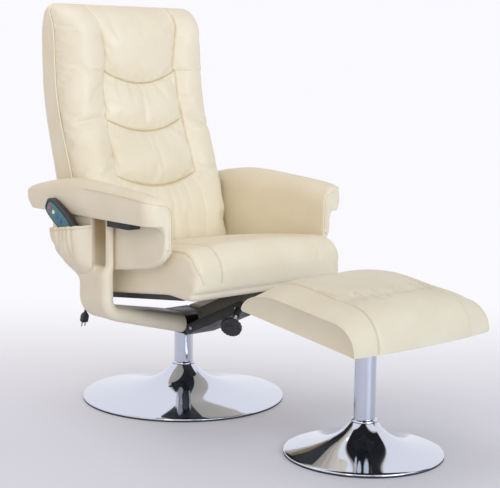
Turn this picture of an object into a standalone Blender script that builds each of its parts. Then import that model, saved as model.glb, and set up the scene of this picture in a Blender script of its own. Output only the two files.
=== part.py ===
"""Massage recliner with a footstool: cream upholstery on chrome trumpet bases.

Metres, +Z up. The origin is on the floor under the chair's swivel column.
The sitter faces -Y, and "right" is the sitter's right, on the -X side.
"""

import bpy
import bmesh
import math
from mathutils import Matrix, Vector

# Fits
CLEAR = 0.0003
RUN = 0.0008
MERGE = 0.00002

# Trumpet bases and columns
CHAIR_BASE_RADIUS = 0.265
STOOL_BASE_RADIUS = 0.183
STOOL_DISTANCE = 0.6645
FLOOR_PAD = 0.003
BASE_RIM = 0.008
BASE_SLOPE = 0.170
BASE_WALL = 0.003
NECK_FLARE = 0.032
NECK_RADIUS = 0.031
CHAIR_NECK = 0.090
STOOL_NECK = 0.077
COLLAR_HEIGHT = 0.007
COLUMN_RADIUS = 0.025
COLUMN_WALL = 0.0025
COLUMN_PLUG = 0.012
CHAIR_COLUMN_TOP = 0.181
BALLAST = 0.005
BALLAST_SHARE = 0.70
BOLT_RADIUS = 0.006
BOLT_HEAD = 0.0105
BOLT_HEAD_HEIGHT = 0.003
BUSH_LENGTH = 0.040
BUSH_FLANGE = 0.003
SPINDLE_RADIUS = 0.012
SPINDLE_TAIL = 0.010
SPINDLE_SOCKET = 0.022

# Hub and recline slide
HUB_HALF = 0.050
HUB_FRONT = -0.070
HUB_REAR = 0.050
HUB_HEIGHT = 0.048
HUB_ROUND = 0.003
SLIDE_ANGLE = math.radians(24)
CHANNEL_FOOT = 0.1826
CHANNEL_LENGTH = 0.2448
CHANNEL_WALL = 0.003
CHANNEL_HEIGHT = 0.025
SLIDER_START = 0.0648
SLIDER_LENGTH = 0.196
SLIDER_HEIGHT = 0.050
SLIDER_WALL = 0.003
BRACKET_HALF = 0.030
BRACKET_REAR = -0.185
BRACKET_FRONT = -0.235

# Recline knob, pointing out, forwards and down
KNOB_RADIUS = 0.027
KNOB_THICK = 0.020
KNOB_RIBS = 18
KNOB_RIB_DEPTH = 0.0015
KNOB_OUTLINE = ((0, 0.80), (0.15, 1), (0.80, 1), (1, 0.82))
KNOB_REACH = 0.046
KNOB_ROD = 0.005
KNOB_BOSS = 0.009
KNOB_BOSS_LENGTH = 0.018
KNOB_ROOT_Y = -0.276
KNOB_ROOT_Z = 0.277
KNOB_AXIS = Vector((-0.745, -0.426, -0.514)).normalized()

# Wrapped side frames
LEG_HEIGHT = 0.2135
LEG_RISE = math.radians(12.5)
LEG_HALF = 0.026
LEG_FRONT = -0.075
LEG_REAR = 0.050
POST_THICK = 0.034
POST_FRONT = -0.081
POST_REAR = 0.045
WING_REAR = 0.158
WING_LOW = 0.330
WING_HIGH = 0.388
BEND_RADIUS = 0.045
LEG_WIDENS = 0.6

# Arms
ARM_INNER = 0.2495
PANEL_THICK = 0.022
PANEL_FRONT = -0.267
PANEL_REAR = 0.208
PANEL_FRONT_LOW = 0.404
PANEL_REAR_LOW = 0.336
PANEL_CORNER = 0.045
FRAME_GAP = 0.003
PAD_BOTTOM = 0.5355
PAD_RISE = 0.0545
PAD_CROWN = PAD_BOTTOM + PAD_RISE
PAD_FRONT = -0.270
PAD_REAR = 0.262
PAD_SIDE = 0.4
PAD_ARCH = ((0.10, 0.22), (0.35, 0.04), (0.60, 0), (0.82, 0.10), (0.95, 0.34))
PAD_END_PULL = 0.004
PAD_FRONT_WRAP = 0.022
PAD_REAR_RAKE = 0.022
PAD_FRONT_DROP = 0.024
PAD_REAR_DROP = 0.036
FLAP_DROP = 0.0305
FLAP_BOTTOM = PAD_BOTTOM - FLAP_DROP
FLAP_THICK = 0.010
FLAP_GAP = 0.0025
FLAP_LIP = 0.002
ARM_BRACKET_FRONT = -0.186
ARM_BRACKET_LOW = 0.488
ARM_BRACKET_CUT = (0.018, 0.022)
ARM_BOLT_RADIUS = 0.004
ARM_BOLT_HEAD = 0.007
ARM_BOLT_HEAD_HEIGHT = 0.004
ARM_BOLT_DEPTH = 0.012
ARM_BOLT_Y = 0.010
ARM_BOLT_Z = 0.470

# Backrest
PIVOT_Y = 0.170
PIVOT_DROP = 0.0355
PIVOT_Z = PAD_BOTTOM - PIVOT_DROP
PIVOT_RADIUS = 0.008
PIVOT_SHOULDER = 0.013
PIVOT_HEAD = 0.012
PIVOT_HEAD_HEIGHT = 0.0022
PIVOT_PLATE = 0.004
PIVOT_PLATE_HALF = 0.026
BACK_HALF = 0.238
BACK_BOTTOM = 0.345
BACK_TOP = 1.032
SEAM_LINE = ((0.345, 0.092), (0.591, 0.174), (0.782, 0.238), (0.937, 0.252), (1.040, 0.256))
REAR_LINE = ((0.345, 0.198), (0.584, 0.266), (0.780, 0.316), (0.951, 0.325), (1.040, 0.316))
SHELL_WALL = 0.008
SHELL_ROUND = 0.016
BACK_BOARD = 0.008
BOARD_SET_BACK = 0.0009
BACK_END_ROW = 0.018
CUSHION_DEPTH = 0.052
CUSHION_ROLL = 0.055
CUSHION_TUCK = 0.012
CUSHION_END = 0.050
CUSHION_SEAM = 0.005
CUSHION_FOOT = 0.006
CUSHION_FOOT_SLOPE = 0.33
BOLSTER_INNER = 0.118
SCALLOP_HEIGHTS = (0.590, 0.730, 0.855)
SCALLOP_DIP = 0.030
PANEL_CROWN = 0.016
BOLSTER_CROWN = 0.012
MOTOR_RADIUS = 0.028
MOTOR_DEPTH = 0.022
MOTOR_GAP = 0.0008
BACK_MOTOR_HEIGHTS = {"lower_back_motor": 0.560, "upper_back_motor": 0.760}
CONTROL_HALF = (0.060, 0.032)
CONTROL_DEPTH = 0.026
CONTROL_ROUND = 0.003
CONTROL_Z = 0.450

# Seat
SEAT_HALF = 0.241
SEAT_TILT = math.radians(6.5)
SEAT_FRONT = -0.353
SEAT_REAR = 0.070
SEAT_THICK = 0.104
SEAT_ORIGIN_Y = -0.120
SEAT_ORIGIN_Z = 0.3186
SEAT_ROUND = (0.024, 0.042, 0.046)
SEAT_CROWN = 0.018
SEAT_CROWN_FADE = 0.6
SEAT_PULL = 0.005
SEAT_SEAM_DEPTH = 0.005
SEAT_BOARD = 0.012
SEAT_BOARD_HALF = 0.226
SEAT_BOARD_INSET = 0.030
SEAT_BOARD_FRONT = 0.075
SEAT_MOTOR_Y = 0.020
HINGE_Y = 0.139
HINGE_Z = 0.300
HINGE_PIN = 0.005
HINGE_SLACK = 0.0085
LUG_RIM = 0.005
LUG_THICK = 0.004
SEAT_LUG_RADIUS = 0.012
SEAT_LUG_REACH = 0.080

# Pocket and handset on the right frame
POCKET_FRONT = -0.034
POCKET_REAR = 0.132
POCKET_BOTTOM = 0.357
POCKET_TOP_REAR = 0.464
POCKET_TOP_FRONT = 0.486
POCKET_BULGE = 0.040
POCKET_WALL = 0.0025
POCKET_CORNER_LIFT = 0.022
POCKET_GATHER = 0.0012
POCKET_MOUTH_PULL = 0.10
HANDSET_LENGTH = 0.150
HANDSET_WIDTH = 0.050
HANDSET_THICK = 0.022
HANDSET_LEAN = math.radians(30)
HANDSET_TOP_Y = 0.1345
HANDSET_TOP_Z = 0.530
HANDSET_ROUND = 0.007
FACE_LENGTH = 0.112
FACE_WIDTH = 0.038
FACE_THICK = 0.0018
FACE_SHIFT = 0.007
BUTTON_RADIUS = 0.0055
BUTTON_PROUD = 0.0016
BUTTON_TRAVEL = 0.001
BUTTON_DEPTH = 0.004
BUTTON_NAMES = ("power_button", "mode_button", "level_button", "timer_button")
BUTTON_FIRST = 0.052
BUTTON_PITCH = 0.020

# Power pigtail behind the right frame
GLAND_Y = 0.082
GLAND_Z = 0.345
GLAND_RADIUS = 0.006
GLAND_LENGTH = 0.010
GLAND_TIP = 0.0042
LEAD_RADIUS = 0.0018
LEAD_BEND = 0.015
LEAD_DROP = 0.078
LEAD_DRIFT = 0.012
PLUG_LENGTH = 0.038
PLUG_WIDTH = 0.018
PLUG_THICK = 0.013
PLUG_OUTLINE = ((0, 0.40), (0.30, 0.55), (0.42, 1), (1, 0.94))
PLUG_SECTION = ((1, 0.5), (0.6, 1), (-0.6, 1), (-1, 0.5), (-1, -0.5), (-0.6, -1), (0.6, -1), (1, -0.5))
PIN_RADIUS = 0.0022
PIN_LENGTH = 0.014
PIN_SPREAD = 0.005

# Footstool top
STOOL_HALF_X = 0.220
STOOL_HALF_Y = 0.186
STOOL_THICK = 0.060
STOOL_ROUND = (0.014, 0.060, 0.029)
STOOL_CROWN = 0.034
STOOL_CROWN_ROUND = 2.5
STOOL_PULL = 0.006
STOOL_SEAM_DEPTH = 0.006
STOOL_TILT = math.radians(7.4)
STOOL_BOTTOM = 0.308
STOOL_BOARD = 0.009
STOOL_BOARD_INSET = 0.034
STOOL_PLATE = 0.004
STOOL_PLATE_HALF = 0.080
STOOL_HUB = 0.020
STOOL_HUB_HEIGHT = 0.012

# Grid and roundness of the pieces
PAD_LEVELS = (-1, -0.4, 0.2, 0.7, 1)
BASE_RINGS = 8
DISC_SIDES = 36
TUBE_SIDES = 20
PIN_SIDES = 12


def clear_scene():
    for old in list(bpy.data.objects):
        bpy.data.objects.remove(old, do_unlink=True)


def finish(name, colour, roughness, metallic):
    """Principled material of one finish."""
    mat = bpy.data.materials.new(name)
    mat.use_nodes = True
    shader = mat.node_tree.nodes["Principled BSDF"]
    shader.inputs["Base Color"].default_value = (*colour, 1)
    shader.inputs["Roughness"].default_value = roughness
    shader.inputs["Metallic"].default_value = metallic
    return mat


clear_scene()
LEATHER = finish("cream_leather", (0.84, 0.77, 0.64), 0.45, 0)
CHROME = finish("chrome", (0.80, 0.80, 0.82), 0.08, 1)
BLACK_STEEL = finish("black_steel", (0.03, 0.03, 0.035), 0.45, 0.2)
STEEL = finish("bare_steel", (0.55, 0.55, 0.56), 0.35, 1)
BLACK_PLASTIC = finish("black_plastic", (0.02, 0.02, 0.024), 0.40, 0)
RUBBER = finish("black_rubber", (0.02, 0.02, 0.02), 0.80, 0)
BOARD = finish("board", (0.42, 0.30, 0.18), 0.70, 0)
TEAL = finish("teal_face", (0.05, 0.19, 0.21), 0.35, 0)
RED = finish("red_key", (0.60, 0.05, 0.13), 0.40, 0)
YELLOW = finish("yellow_key", (0.85, 0.80, 0.45), 0.40, 0)
BLUE = finish("blue_key", (0.03, 0.10, 0.40), 0.40, 0)


def axis_empty(name, place, parent=None):
    """Empty on a joint's axis; its own record of where it is in the world."""
    empty = bpy.data.objects.new(name, None)
    empty["world"] = tuple(place)
    empty.location = Vector(place)
    if parent:
        empty.parent = parent
        empty.location -= Vector(parent["world"])
    bpy.context.collection.objects.link(empty)
    return empty


def add(name, bm, mat, parent=None, angle=30):
    """Put a finished bmesh, in world coordinates, into the scene under its parent."""
    bmesh.ops.recalc_face_normals(bm, faces=bm.faces)
    mesh = bpy.data.meshes.new(name)
    bm.to_mesh(mesh)
    bm.free()
    mesh.shade_smooth()
    mesh.set_sharp_from_angle(angle=math.radians(angle))
    mesh.materials.append(mat)
    obj = bpy.data.objects.new(name, mesh)
    if parent:
        obj.parent = parent
        obj.matrix_parent_inverse = Matrix.Translation(-Vector(parent["world"]))
    bpy.context.collection.objects.link(obj)
    return obj


def carve(obj, bm, operation="DIFFERENCE"):
    """Boolean an object with a hidden tool shape."""
    tool = add(obj.name + ".tool", bm, obj.data.materials[0])
    tool.hide_render = True
    tool.display_type = "WIRE"
    mod = obj.modifiers.new(operation.lower(), "BOOLEAN")
    mod.operation = operation
    mod.object = tool


def aim(place, direction):
    """Matrix that carries +Z to a direction at a place."""
    turn = Vector(direction).to_track_quat("Z", "Y").to_matrix().to_4x4()
    return Matrix.Translation(Vector(place)) @ turn


def turned(profile, sides, matrix=None):
    """Turned solid from a closed run of (radius, height) points."""
    bm = bmesh.new()
    verts = [bm.verts.new((r, 0, h)) for r, h in profile]
    edges = []
    for i, (r, _) in enumerate(profile):
        j = (i + 1) % len(profile)
        if r > 0 or profile[j][0] > 0:
            edges.append(bm.edges.new((verts[i], verts[j])))
    bmesh.ops.spin(bm, geom=verts + edges, cent=(0, 0, 0), axis=(0, 0, 1), angle=math.tau, steps=sides)
    bmesh.ops.remove_doubles(bm, verts=bm.verts, dist=MERGE)
    bmesh.ops.recalc_face_normals(bm, faces=bm.faces)
    if matrix:
        bmesh.ops.transform(bm, matrix=matrix, verts=bm.verts)
    return bm


def rod(radius, start, end, sides=PIN_SIDES):
    """Round bar from start to end."""
    run = Vector(end) - Vector(start)
    return turned(((0, 0), (radius, 0), (radius, run.length), (0, run.length)), sides, aim(start, run))


def prism(outline, low, high, matrix=None):
    """Solid with a (y, z) outline between two x places."""
    bm = bmesh.new()
    face = bm.faces.new([bm.verts.new((low, y, z)) for y, z in outline])
    grown = bmesh.ops.extrude_face_region(bm, geom=[face])
    moved = [v for v in grown["geom"] if isinstance(v, bmesh.types.BMVert)]
    bmesh.ops.translate(bm, verts=moved, vec=(high - low, 0, 0))
    if matrix:
        bmesh.ops.transform(bm, matrix=matrix, verts=bm.verts)
    bmesh.ops.recalc_face_normals(bm, faces=bm.faces)
    return bm


def box(low, high, matrix=None, round_off=0, segments=2):
    """Box between two corners, with its edges rounded off where asked."""
    outline = ((low[1], low[2]), (high[1], low[2]), (high[1], high[2]), (low[1], high[2]))
    bm = prism(outline, low[0], high[0])
    if round_off:
        edges = bm.edges[:]
        bmesh.ops.bevel(bm, geom=edges, offset=round_off, segments=segments, profile=0.5, affect="EDGES")
    if matrix:
        bmesh.ops.transform(bm, matrix=matrix, verts=bm.verts)
    return bm


def loft(rings):
    """Solid through rings of equal count, closed at both ends."""
    bm = bmesh.new()
    loops = [[bm.verts.new(p) for p in ring] for ring in rings]
    for one, two in zip(loops, loops[1:]):
        for i in range(len(one)):
            j = (i + 1) % len(one)
            bm.faces.new((one[i], one[j], two[j], two[i]))
    bm.faces.new(loops[0])
    bm.faces.new(loops[-1])
    bmesh.ops.recalc_face_normals(bm, faces=bm.faces)
    return bm


def block(xs, ys, zs, shape):
    """Box skin with grid lines at the given places, each point then put through a shape."""
    bm = bmesh.new()
    bmesh.ops.create_cube(bm, size=2)
    lines = (xs, ys, zs)
    for axis, places in enumerate(lines):
        along = [e for e in bm.edges if abs((e.verts[0].co - e.verts[1].co)[axis]) > MERGE]
        if len(places) > 2:
            bmesh.ops.subdivide_edges(bm, edges=along, cuts=len(places) - 2, use_grid_fill=True)
    for v in bm.verts:
        steps = [round((v.co[axis] + 1) / 2 * (len(lines[axis]) - 1)) for axis in range(3)]
        v.co = shape(*(lines[axis][steps[axis]] for axis in range(3)))
    bmesh.ops.recalc_face_normals(bm, faces=bm.faces)
    return bm


def eased(count):
    """Places from -1 to 1, closer together towards the ends."""
    return [math.sin(math.pi / 2 * (2 * i / count - 1)) for i in range(count + 1)]


def rounded(point, half, radius):
    """Move a point of a box skin in so that the box's edges are round."""
    core = Vector([max(-(h - r), min(h - r, p)) for p, h, r in zip(point, half, radius)])
    over = Vector([(p - c) / r for p, c, r in zip(point, core, radius)])
    if over.length < MERGE:
        return core
    over.normalize()
    return core + Vector([o * r for o, r in zip(over, radius)])


def between(line, z):
    """Smooth y of a line of (z, y) points at a height."""
    points = list(line)
    slopes = []
    for i in range(len(points)):
        a = points[max(i - 1, 0)]
        b = points[min(i + 1, len(points) - 1)]
        slopes.append((b[1] - a[1]) / (b[0] - a[0]))
    for i in range(len(points) - 1):
        if z <= points[i + 1][0] or i == len(points) - 2:
            break
    span = points[i + 1][0] - points[i][0]
    t = (z - points[i][0]) / span
    rise = (2 * t**3 - 3 * t**2 + 1) * points[i][1] + (3 * t**2 - 2 * t**3) * points[i + 1][1]
    return rise + span * ((t**3 - 2 * t**2 + t) * slopes[i] + (t**3 - t**2) * slopes[i + 1])


# Places that several pieces share
CHAIR = Vector((0, 0, 0))
STOOL = Vector((0, -STOOL_DISTANCE, 0))
STOOL_HUB_FACE = STOOL_BOTTOM - (STOOL_PLATE + CLEAR) / math.cos(STOOL_TILT)
STOOL_COLUMN_TOP = STOOL_HUB_FACE - STOOL_HUB_HEIGHT - BUSH_FLANGE - 2 * CLEAR
HUB_FLOOR = CHAIR_COLUMN_TOP + BUSH_FLANGE + 2 * CLEAR
POST_INNER = ARM_INNER + PANEL_THICK + FRAME_GAP
POST_OUTER = POST_INNER + POST_THICK
FLAP_OUTER = POST_OUTER + FLAP_GAP + FLAP_THICK
SEAT_FRAME = Matrix.Translation((0, SEAT_ORIGIN_Y, SEAT_ORIGIN_Z)) @ Matrix.Rotation(-SEAT_TILT, 4, "X")
SLIDE_FRAME = Matrix.Translation((0, HUB_FRONT, CHANNEL_FOOT)) @ Matrix.Rotation(-SLIDE_ANGLE, 4, "X")
STOOL_FRAME = Matrix.Translation(STOOL + Vector((0, 0, STOOL_BOTTOM))) @ Matrix.Rotation(STOOL_TILT, 4, "X")

SWIVEL = axis_empty("swivel_axis", (0, 0, CHAIR_COLUMN_TOP))
RECLINE = axis_empty("recline_axis", (0, PIVOT_Y, PIVOT_Z), SWIVEL)
SLIDE = axis_empty("seat_slide_axis", (0, HUB_FRONT, CHANNEL_FOOT), SWIVEL)
KNOB_ROOT = Vector((-HUB_HALF - CLEAR, KNOB_ROOT_Y, KNOB_ROOT_Z))
KNOB = axis_empty("knob_axis", KNOB_ROOT, SWIVEL)
STOOL_SWIVEL = axis_empty("stool_swivel_axis", STOOL + Vector((0, 0, STOOL_COLUMN_TOP)))


def pedestal(prefix, centre, base_radius, neck, column_top):
    """Trumpet base with its floor pad, ballast, column, collar, top bush and bolt."""
    place = Matrix.Translation(centre)
    bottom = FLOOR_PAD + CLEAR
    ballast_top = bottom + BALLAST
    column_inner = COLUMN_RADIUS - COLUMN_WALL
    hole = COLUMN_RADIUS + CLEAR
    spread = base_radius - NECK_RADIUS
    cone = BASE_SLOPE * spread

    def skin(radius):
        out = radius - NECK_RADIUS
        flare = (neck - BASE_RIM - cone) * math.exp(-out / NECK_FLARE)
        return BASE_RIM + cone * (1 - out / spread) + flare

    radii = [NECK_RADIUS + spread * (i / BASE_RINGS) ** 2 for i in range(BASE_RINGS + 1)]
    outer = [(r, skin(r)) for r in radii]
    inner = [(r, skin(r) - BASE_WALL) for r in radii[:-1]]
    rim = base_radius - BASE_WALL
    shell = [(hole, neck)] + outer + [(base_radius, bottom), (rim, bottom), (rim, skin(rim) - BASE_WALL)]
    shell += [p for p in reversed(inner) if p[0] < rim - BASE_WALL] + [(hole, neck - BASE_WALL)]
    add(prefix + "base_disc", turned(shell, DISC_SIDES, place), CHROME)

    pad = ((0, 0), (base_radius - BASE_WALL, 0), (base_radius - BASE_WALL, FLOOR_PAD), (0, FLOOR_PAD))
    add(prefix + "floor_pad", turned(pad, DISC_SIDES, place), RUBBER)

    ballast_radius = NECK_RADIUS + spread * BALLAST_SHARE - BASE_WALL
    bore = BOLT_RADIUS + CLEAR
    sink = BOLT_HEAD + CLEAR
    sink_top = bottom + BOLT_HEAD_HEIGHT + CLEAR
    ballast = ((sink, bottom), (ballast_radius, bottom), (ballast_radius, ballast_top), (bore, ballast_top))
    ballast += ((bore, sink_top), (sink, sink_top))
    add(prefix + "base_ballast", turned(ballast, DISC_SIDES, place), BLACK_STEEL)

    foot = ballast_top + CLEAR
    plug_top = foot + COLUMN_PLUG
    tube = ((bore, foot), (COLUMN_RADIUS, foot), (COLUMN_RADIUS, column_top), (column_inner, column_top))
    tube += ((column_inner, plug_top), (bore, plug_top))
    add(prefix + "column_tube", turned(tube, TUBE_SIDES, place), CHROME)

    bolt = ((0, bottom), (BOLT_HEAD, bottom), (BOLT_HEAD, sink_top - CLEAR), (BOLT_RADIUS, sink_top - CLEAR))
    bolt += ((BOLT_RADIUS, plug_top), (0, plug_top))

    low = neck + CLEAR
    collar = ((hole, low), (NECK_RADIUS, low), (NECK_RADIUS, low + COLLAR_HEIGHT / 2))
    collar += ((COLUMN_RADIUS + COLUMN_WALL, low + COLLAR_HEIGHT), (hole, low + COLLAR_HEIGHT))
    add(prefix + "column_collar", turned(collar, TUBE_SIDES, place), CHROME)

    seat = column_top + CLEAR
    flange_top = seat + BUSH_FLANGE
    wall = column_inner - CLEAR
    run = SPINDLE_RADIUS + RUN
    bush = ((run, column_top - BUSH_LENGTH), (wall, column_top - BUSH_LENGTH), (wall, seat))
    bush += ((COLUMN_RADIUS, seat), (COLUMN_RADIUS, flange_top), (run, flange_top))
    add(prefix + "column_bush", turned(bush, TUBE_SIDES, place), BLACK_PLASTIC)
    add(prefix + "base_bolt", turned(bolt, PIN_SIDES, place), STEEL)


def spindle(name, centre, column_top, top, parent):
    """Steel spindle that turns in the column's bush and is fixed in the hub above."""
    low = column_top - BUSH_LENGTH - SPINDLE_TAIL
    points = ((0, low), (SPINDLE_RADIUS, low), (SPINDLE_RADIUS, top), (0, top))
    add(name, turned(points, TUBE_SIDES, Matrix.Translation(centre)), STEEL, parent)


def spindle_bore(centre, floor, depth):
    """Tool shape for the hole that a spindle is fixed in."""
    low = floor - SPINDLE_TAIL
    top = floor + depth + CLEAR
    radius = SPINDLE_RADIUS + CLEAR
    points = ((0, low), (radius, low), (radius, top), (0, top))
    return turned(points, TUBE_SIDES, Matrix.Translation(centre))


def recline_slide():
    """Hub on the spindle, the sloping channel in front of it, and the slider in the channel."""
    spindle("swivel_spindle", CHAIR, CHAIR_COLUMN_TOP, HUB_FLOOR + SPINDLE_SOCKET, SWIVEL)
    corner = Vector((HUB_HALF, HUB_REAR, HUB_FLOOR + HUB_HEIGHT))
    hub = add("hub_box", box((-HUB_HALF, HUB_FRONT, HUB_FLOOR), corner, round_off=HUB_ROUND, segments=1),
              BLACK_STEEL, SWIVEL)
    carve(hub, spindle_bore(CHAIR, HUB_FLOOR, SPINDLE_SOCKET))

    inner = HUB_HALF - CHANNEL_WALL
    front = -CHANNEL_LENGTH
    rear = HUB_HEIGHT
    channel = add("recline_channel", box((-HUB_HALF, front, 0), (HUB_HALF, rear, CHANNEL_HEIGHT),
                                         SLIDE_FRAME), BLACK_STEEL, SWIVEL)
    low = (-inner, front - inner, CHANNEL_WALL)
    carve(channel, box(low, (inner, rear + inner, 2 * CHANNEL_HEIGHT), SLIDE_FRAME))
    wide = 2 * HUB_HALF
    carve(channel, box((-wide, HUB_FRONT - CLEAR, 0), (wide, HUB_FRONT + 2 * wide, 3 * wide)))

    half = inner - CLEAR
    base = CHANNEL_WALL + CLEAR
    hollow = half - SLIDER_WALL
    start = -SLIDER_START
    end = -SLIDER_START - SLIDER_LENGTH
    slider = add("slider_rail", box((-half, end, base), (half, start, base + SLIDER_HEIGHT), SLIDE_FRAME),
                 STEEL, SLIDE)
    ceiling = base + SLIDER_HEIGHT - SLIDER_WALL
    carve(slider, box((-hollow, 2 * end, 0), (hollow, -2 * end, ceiling), SLIDE_FRAME))
    under = -SEAT_BOARD - 2 * CLEAR
    carve(slider, box((-SEAT_HALF, 2 * SEAT_FRONT, under), (SEAT_HALF, SEAT_HALF, SEAT_HALF), SEAT_FRAME))

    def rail_top(y):
        point = SLIDE_FRAME.inverted() @ Vector((0, y, 0))
        return (base + SLIDER_HEIGHT + CLEAR - point.z) / math.cos(SLIDE_ANGLE)

    def board_under(y):
        return SEAT_ORIGIN_Z - (y - SEAT_ORIGIN_Y) * math.tan(SEAT_TILT) + under / math.cos(SEAT_TILT)

    wedge = [(BRACKET_REAR, rail_top(BRACKET_REAR)), (BRACKET_REAR, board_under(BRACKET_REAR))]
    wedge += [(BRACKET_FRONT, board_under(BRACKET_FRONT)), (BRACKET_FRONT, rail_top(BRACKET_FRONT))]
    add("seat_bracket", prism(wedge, -BRACKET_HALF, BRACKET_HALF), BLACK_STEEL, SLIDE)
    return channel


def recline_knob(channel):
    """Ribbed knob on its clamp screw, in a slanted boss welded to the channel's right wall."""
    boss = rod(KNOB_BOSS, KNOB_ROOT - KNOB_AXIS * KNOB_BOSS_LENGTH, KNOB_ROOT + KNOB_AXIS * KNOB_BOSS_LENGTH)
    cut = bmesh.ops.bisect_plane(boss, geom=boss.verts[:] + boss.edges[:] + boss.faces[:],
                                 plane_co=(CHANNEL_WALL / 2 - HUB_HALF, 0, 0), plane_no=(1, 0, 0),
                                 clear_outer=True)
    rim = [e for e in cut["geom_cut"] if isinstance(e, bmesh.types.BMEdge)]
    bmesh.ops.edgeloop_fill(boss, edges=rim)
    carve(channel, boss, "UNION")
    carve(channel, rod(KNOB_ROD + RUN, KNOB_ROOT, KNOB_ROOT + KNOB_AXIS * 2 * KNOB_BOSS_LENGTH))

    grip_start = KNOB_ROOT + KNOB_AXIS * KNOB_REACH
    grip_end = grip_start + KNOB_AXIS * KNOB_THICK
    add("knob_rod", rod(KNOB_ROD, KNOB_ROOT + KNOB_AXIS * RUN, grip_end - KNOB_AXIS * KNOB_ROD),
        STEEL, KNOB)
    sides = 2 * KNOB_RIBS
    rings = []
    for along, share in KNOB_OUTLINE:
        ring = []
        for i in range(sides):
            radius = (KNOB_RADIUS - KNOB_RIB_DEPTH * (i % 2)) * share
            angle = math.tau * i / sides
            ring.append((radius * math.cos(angle), radius * math.sin(angle), along * KNOB_THICK))
        rings.append(ring)
    grip = loft(rings)
    bmesh.ops.transform(grip, matrix=aim(grip_start, KNOB_AXIS), verts=grip.verts)
    knob = add("recline_knob", grip, BLACK_PLASTIC, KNOB)
    carve(knob, rod(KNOB_ROD + CLEAR, grip_start - KNOB_AXIS * KNOB_ROD,
                    grip_end - KNOB_AXIS * (KNOB_ROD - CLEAR)))


def side_frame(name, side):
    """Wrapped frame: a leg out from the hub, a round bend and a wide post under the arm."""
    post_x = POST_INNER + POST_THICK / 2
    post_half = POST_THICK / 2
    start_x = HUB_HALF + CLEAR
    bend_x = post_x - BEND_RADIUS * (1 - math.sin(LEG_RISE))
    bend_z = LEG_HEIGHT + (bend_x - start_x) * math.tan(LEG_RISE)
    top = PAD_BOTTOM - CLEAR
    stations = []
    for i in range(4):
        t = i / 3
        x = start_x + (bend_x - start_x) * t
        lean = LEG_RISE * min(1, 2 * t)
        half = LEG_HALF + (post_half - LEG_HALF) * t
        front = LEG_FRONT + (POST_FRONT - LEG_FRONT) * t * LEG_WIDENS
        rear = LEG_REAR + (POST_REAR - LEG_REAR) * t
        stations.append((x, LEG_HEIGHT + (x - start_x) * math.tan(LEG_RISE), lean, half, front, rear))
    for i in range(1, 5):
        t = i / 4
        turn = LEG_RISE + (math.pi / 2 - LEG_RISE) * t
        x = bend_x - BEND_RADIUS * (math.sin(LEG_RISE) - math.sin(turn))
        z = bend_z + BEND_RADIUS * (math.cos(LEG_RISE) - math.cos(turn))
        front = LEG_FRONT + (POST_FRONT - LEG_FRONT) * (LEG_WIDENS + (1 - LEG_WIDENS) * t)
        stations.append((x, z, turn, post_half, front, POST_REAR))
    post_low = stations[-1][1]
    for z in (WING_LOW, (WING_LOW + WING_HIGH) / 2, WING_HIGH, (WING_HIGH + top) / 2, top):
        t = max(0, min(1, (z - WING_LOW) / (WING_HIGH - WING_LOW)))
        if z > post_low:
            rear = POST_REAR + (WING_REAR - POST_REAR) * t
            stations.append((post_x, z, math.pi / 2, post_half, POST_FRONT, rear))
    rings = []
    for x, z, lean, half, front, rear in stations:
        ring = []
        for i in range(12):
            angle = math.pi * (i % 6) / 5
            across = half * math.cos(angle)
            along = front + half * (1 - math.sin(angle))
            if i >= 6:
                across = -across
                along = rear - half * (1 - math.sin(angle))
            ring.append((side * (x - across * math.sin(lean)), along, z + across * math.cos(lean)))
        rings.append(ring)
    frame = add(name, loft(rings), LEATHER, SWIVEL)
    carve(frame, rod(ARM_BOLT_RADIUS + CLEAR, (side * (POST_INNER - ARM_BOLT_DEPTH), ARM_BOLT_Y, ARM_BOLT_Z),
                     (side * (POST_INNER + ARM_BOLT_DEPTH + CLEAR), ARM_BOLT_Y, ARM_BOLT_Z)))


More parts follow.
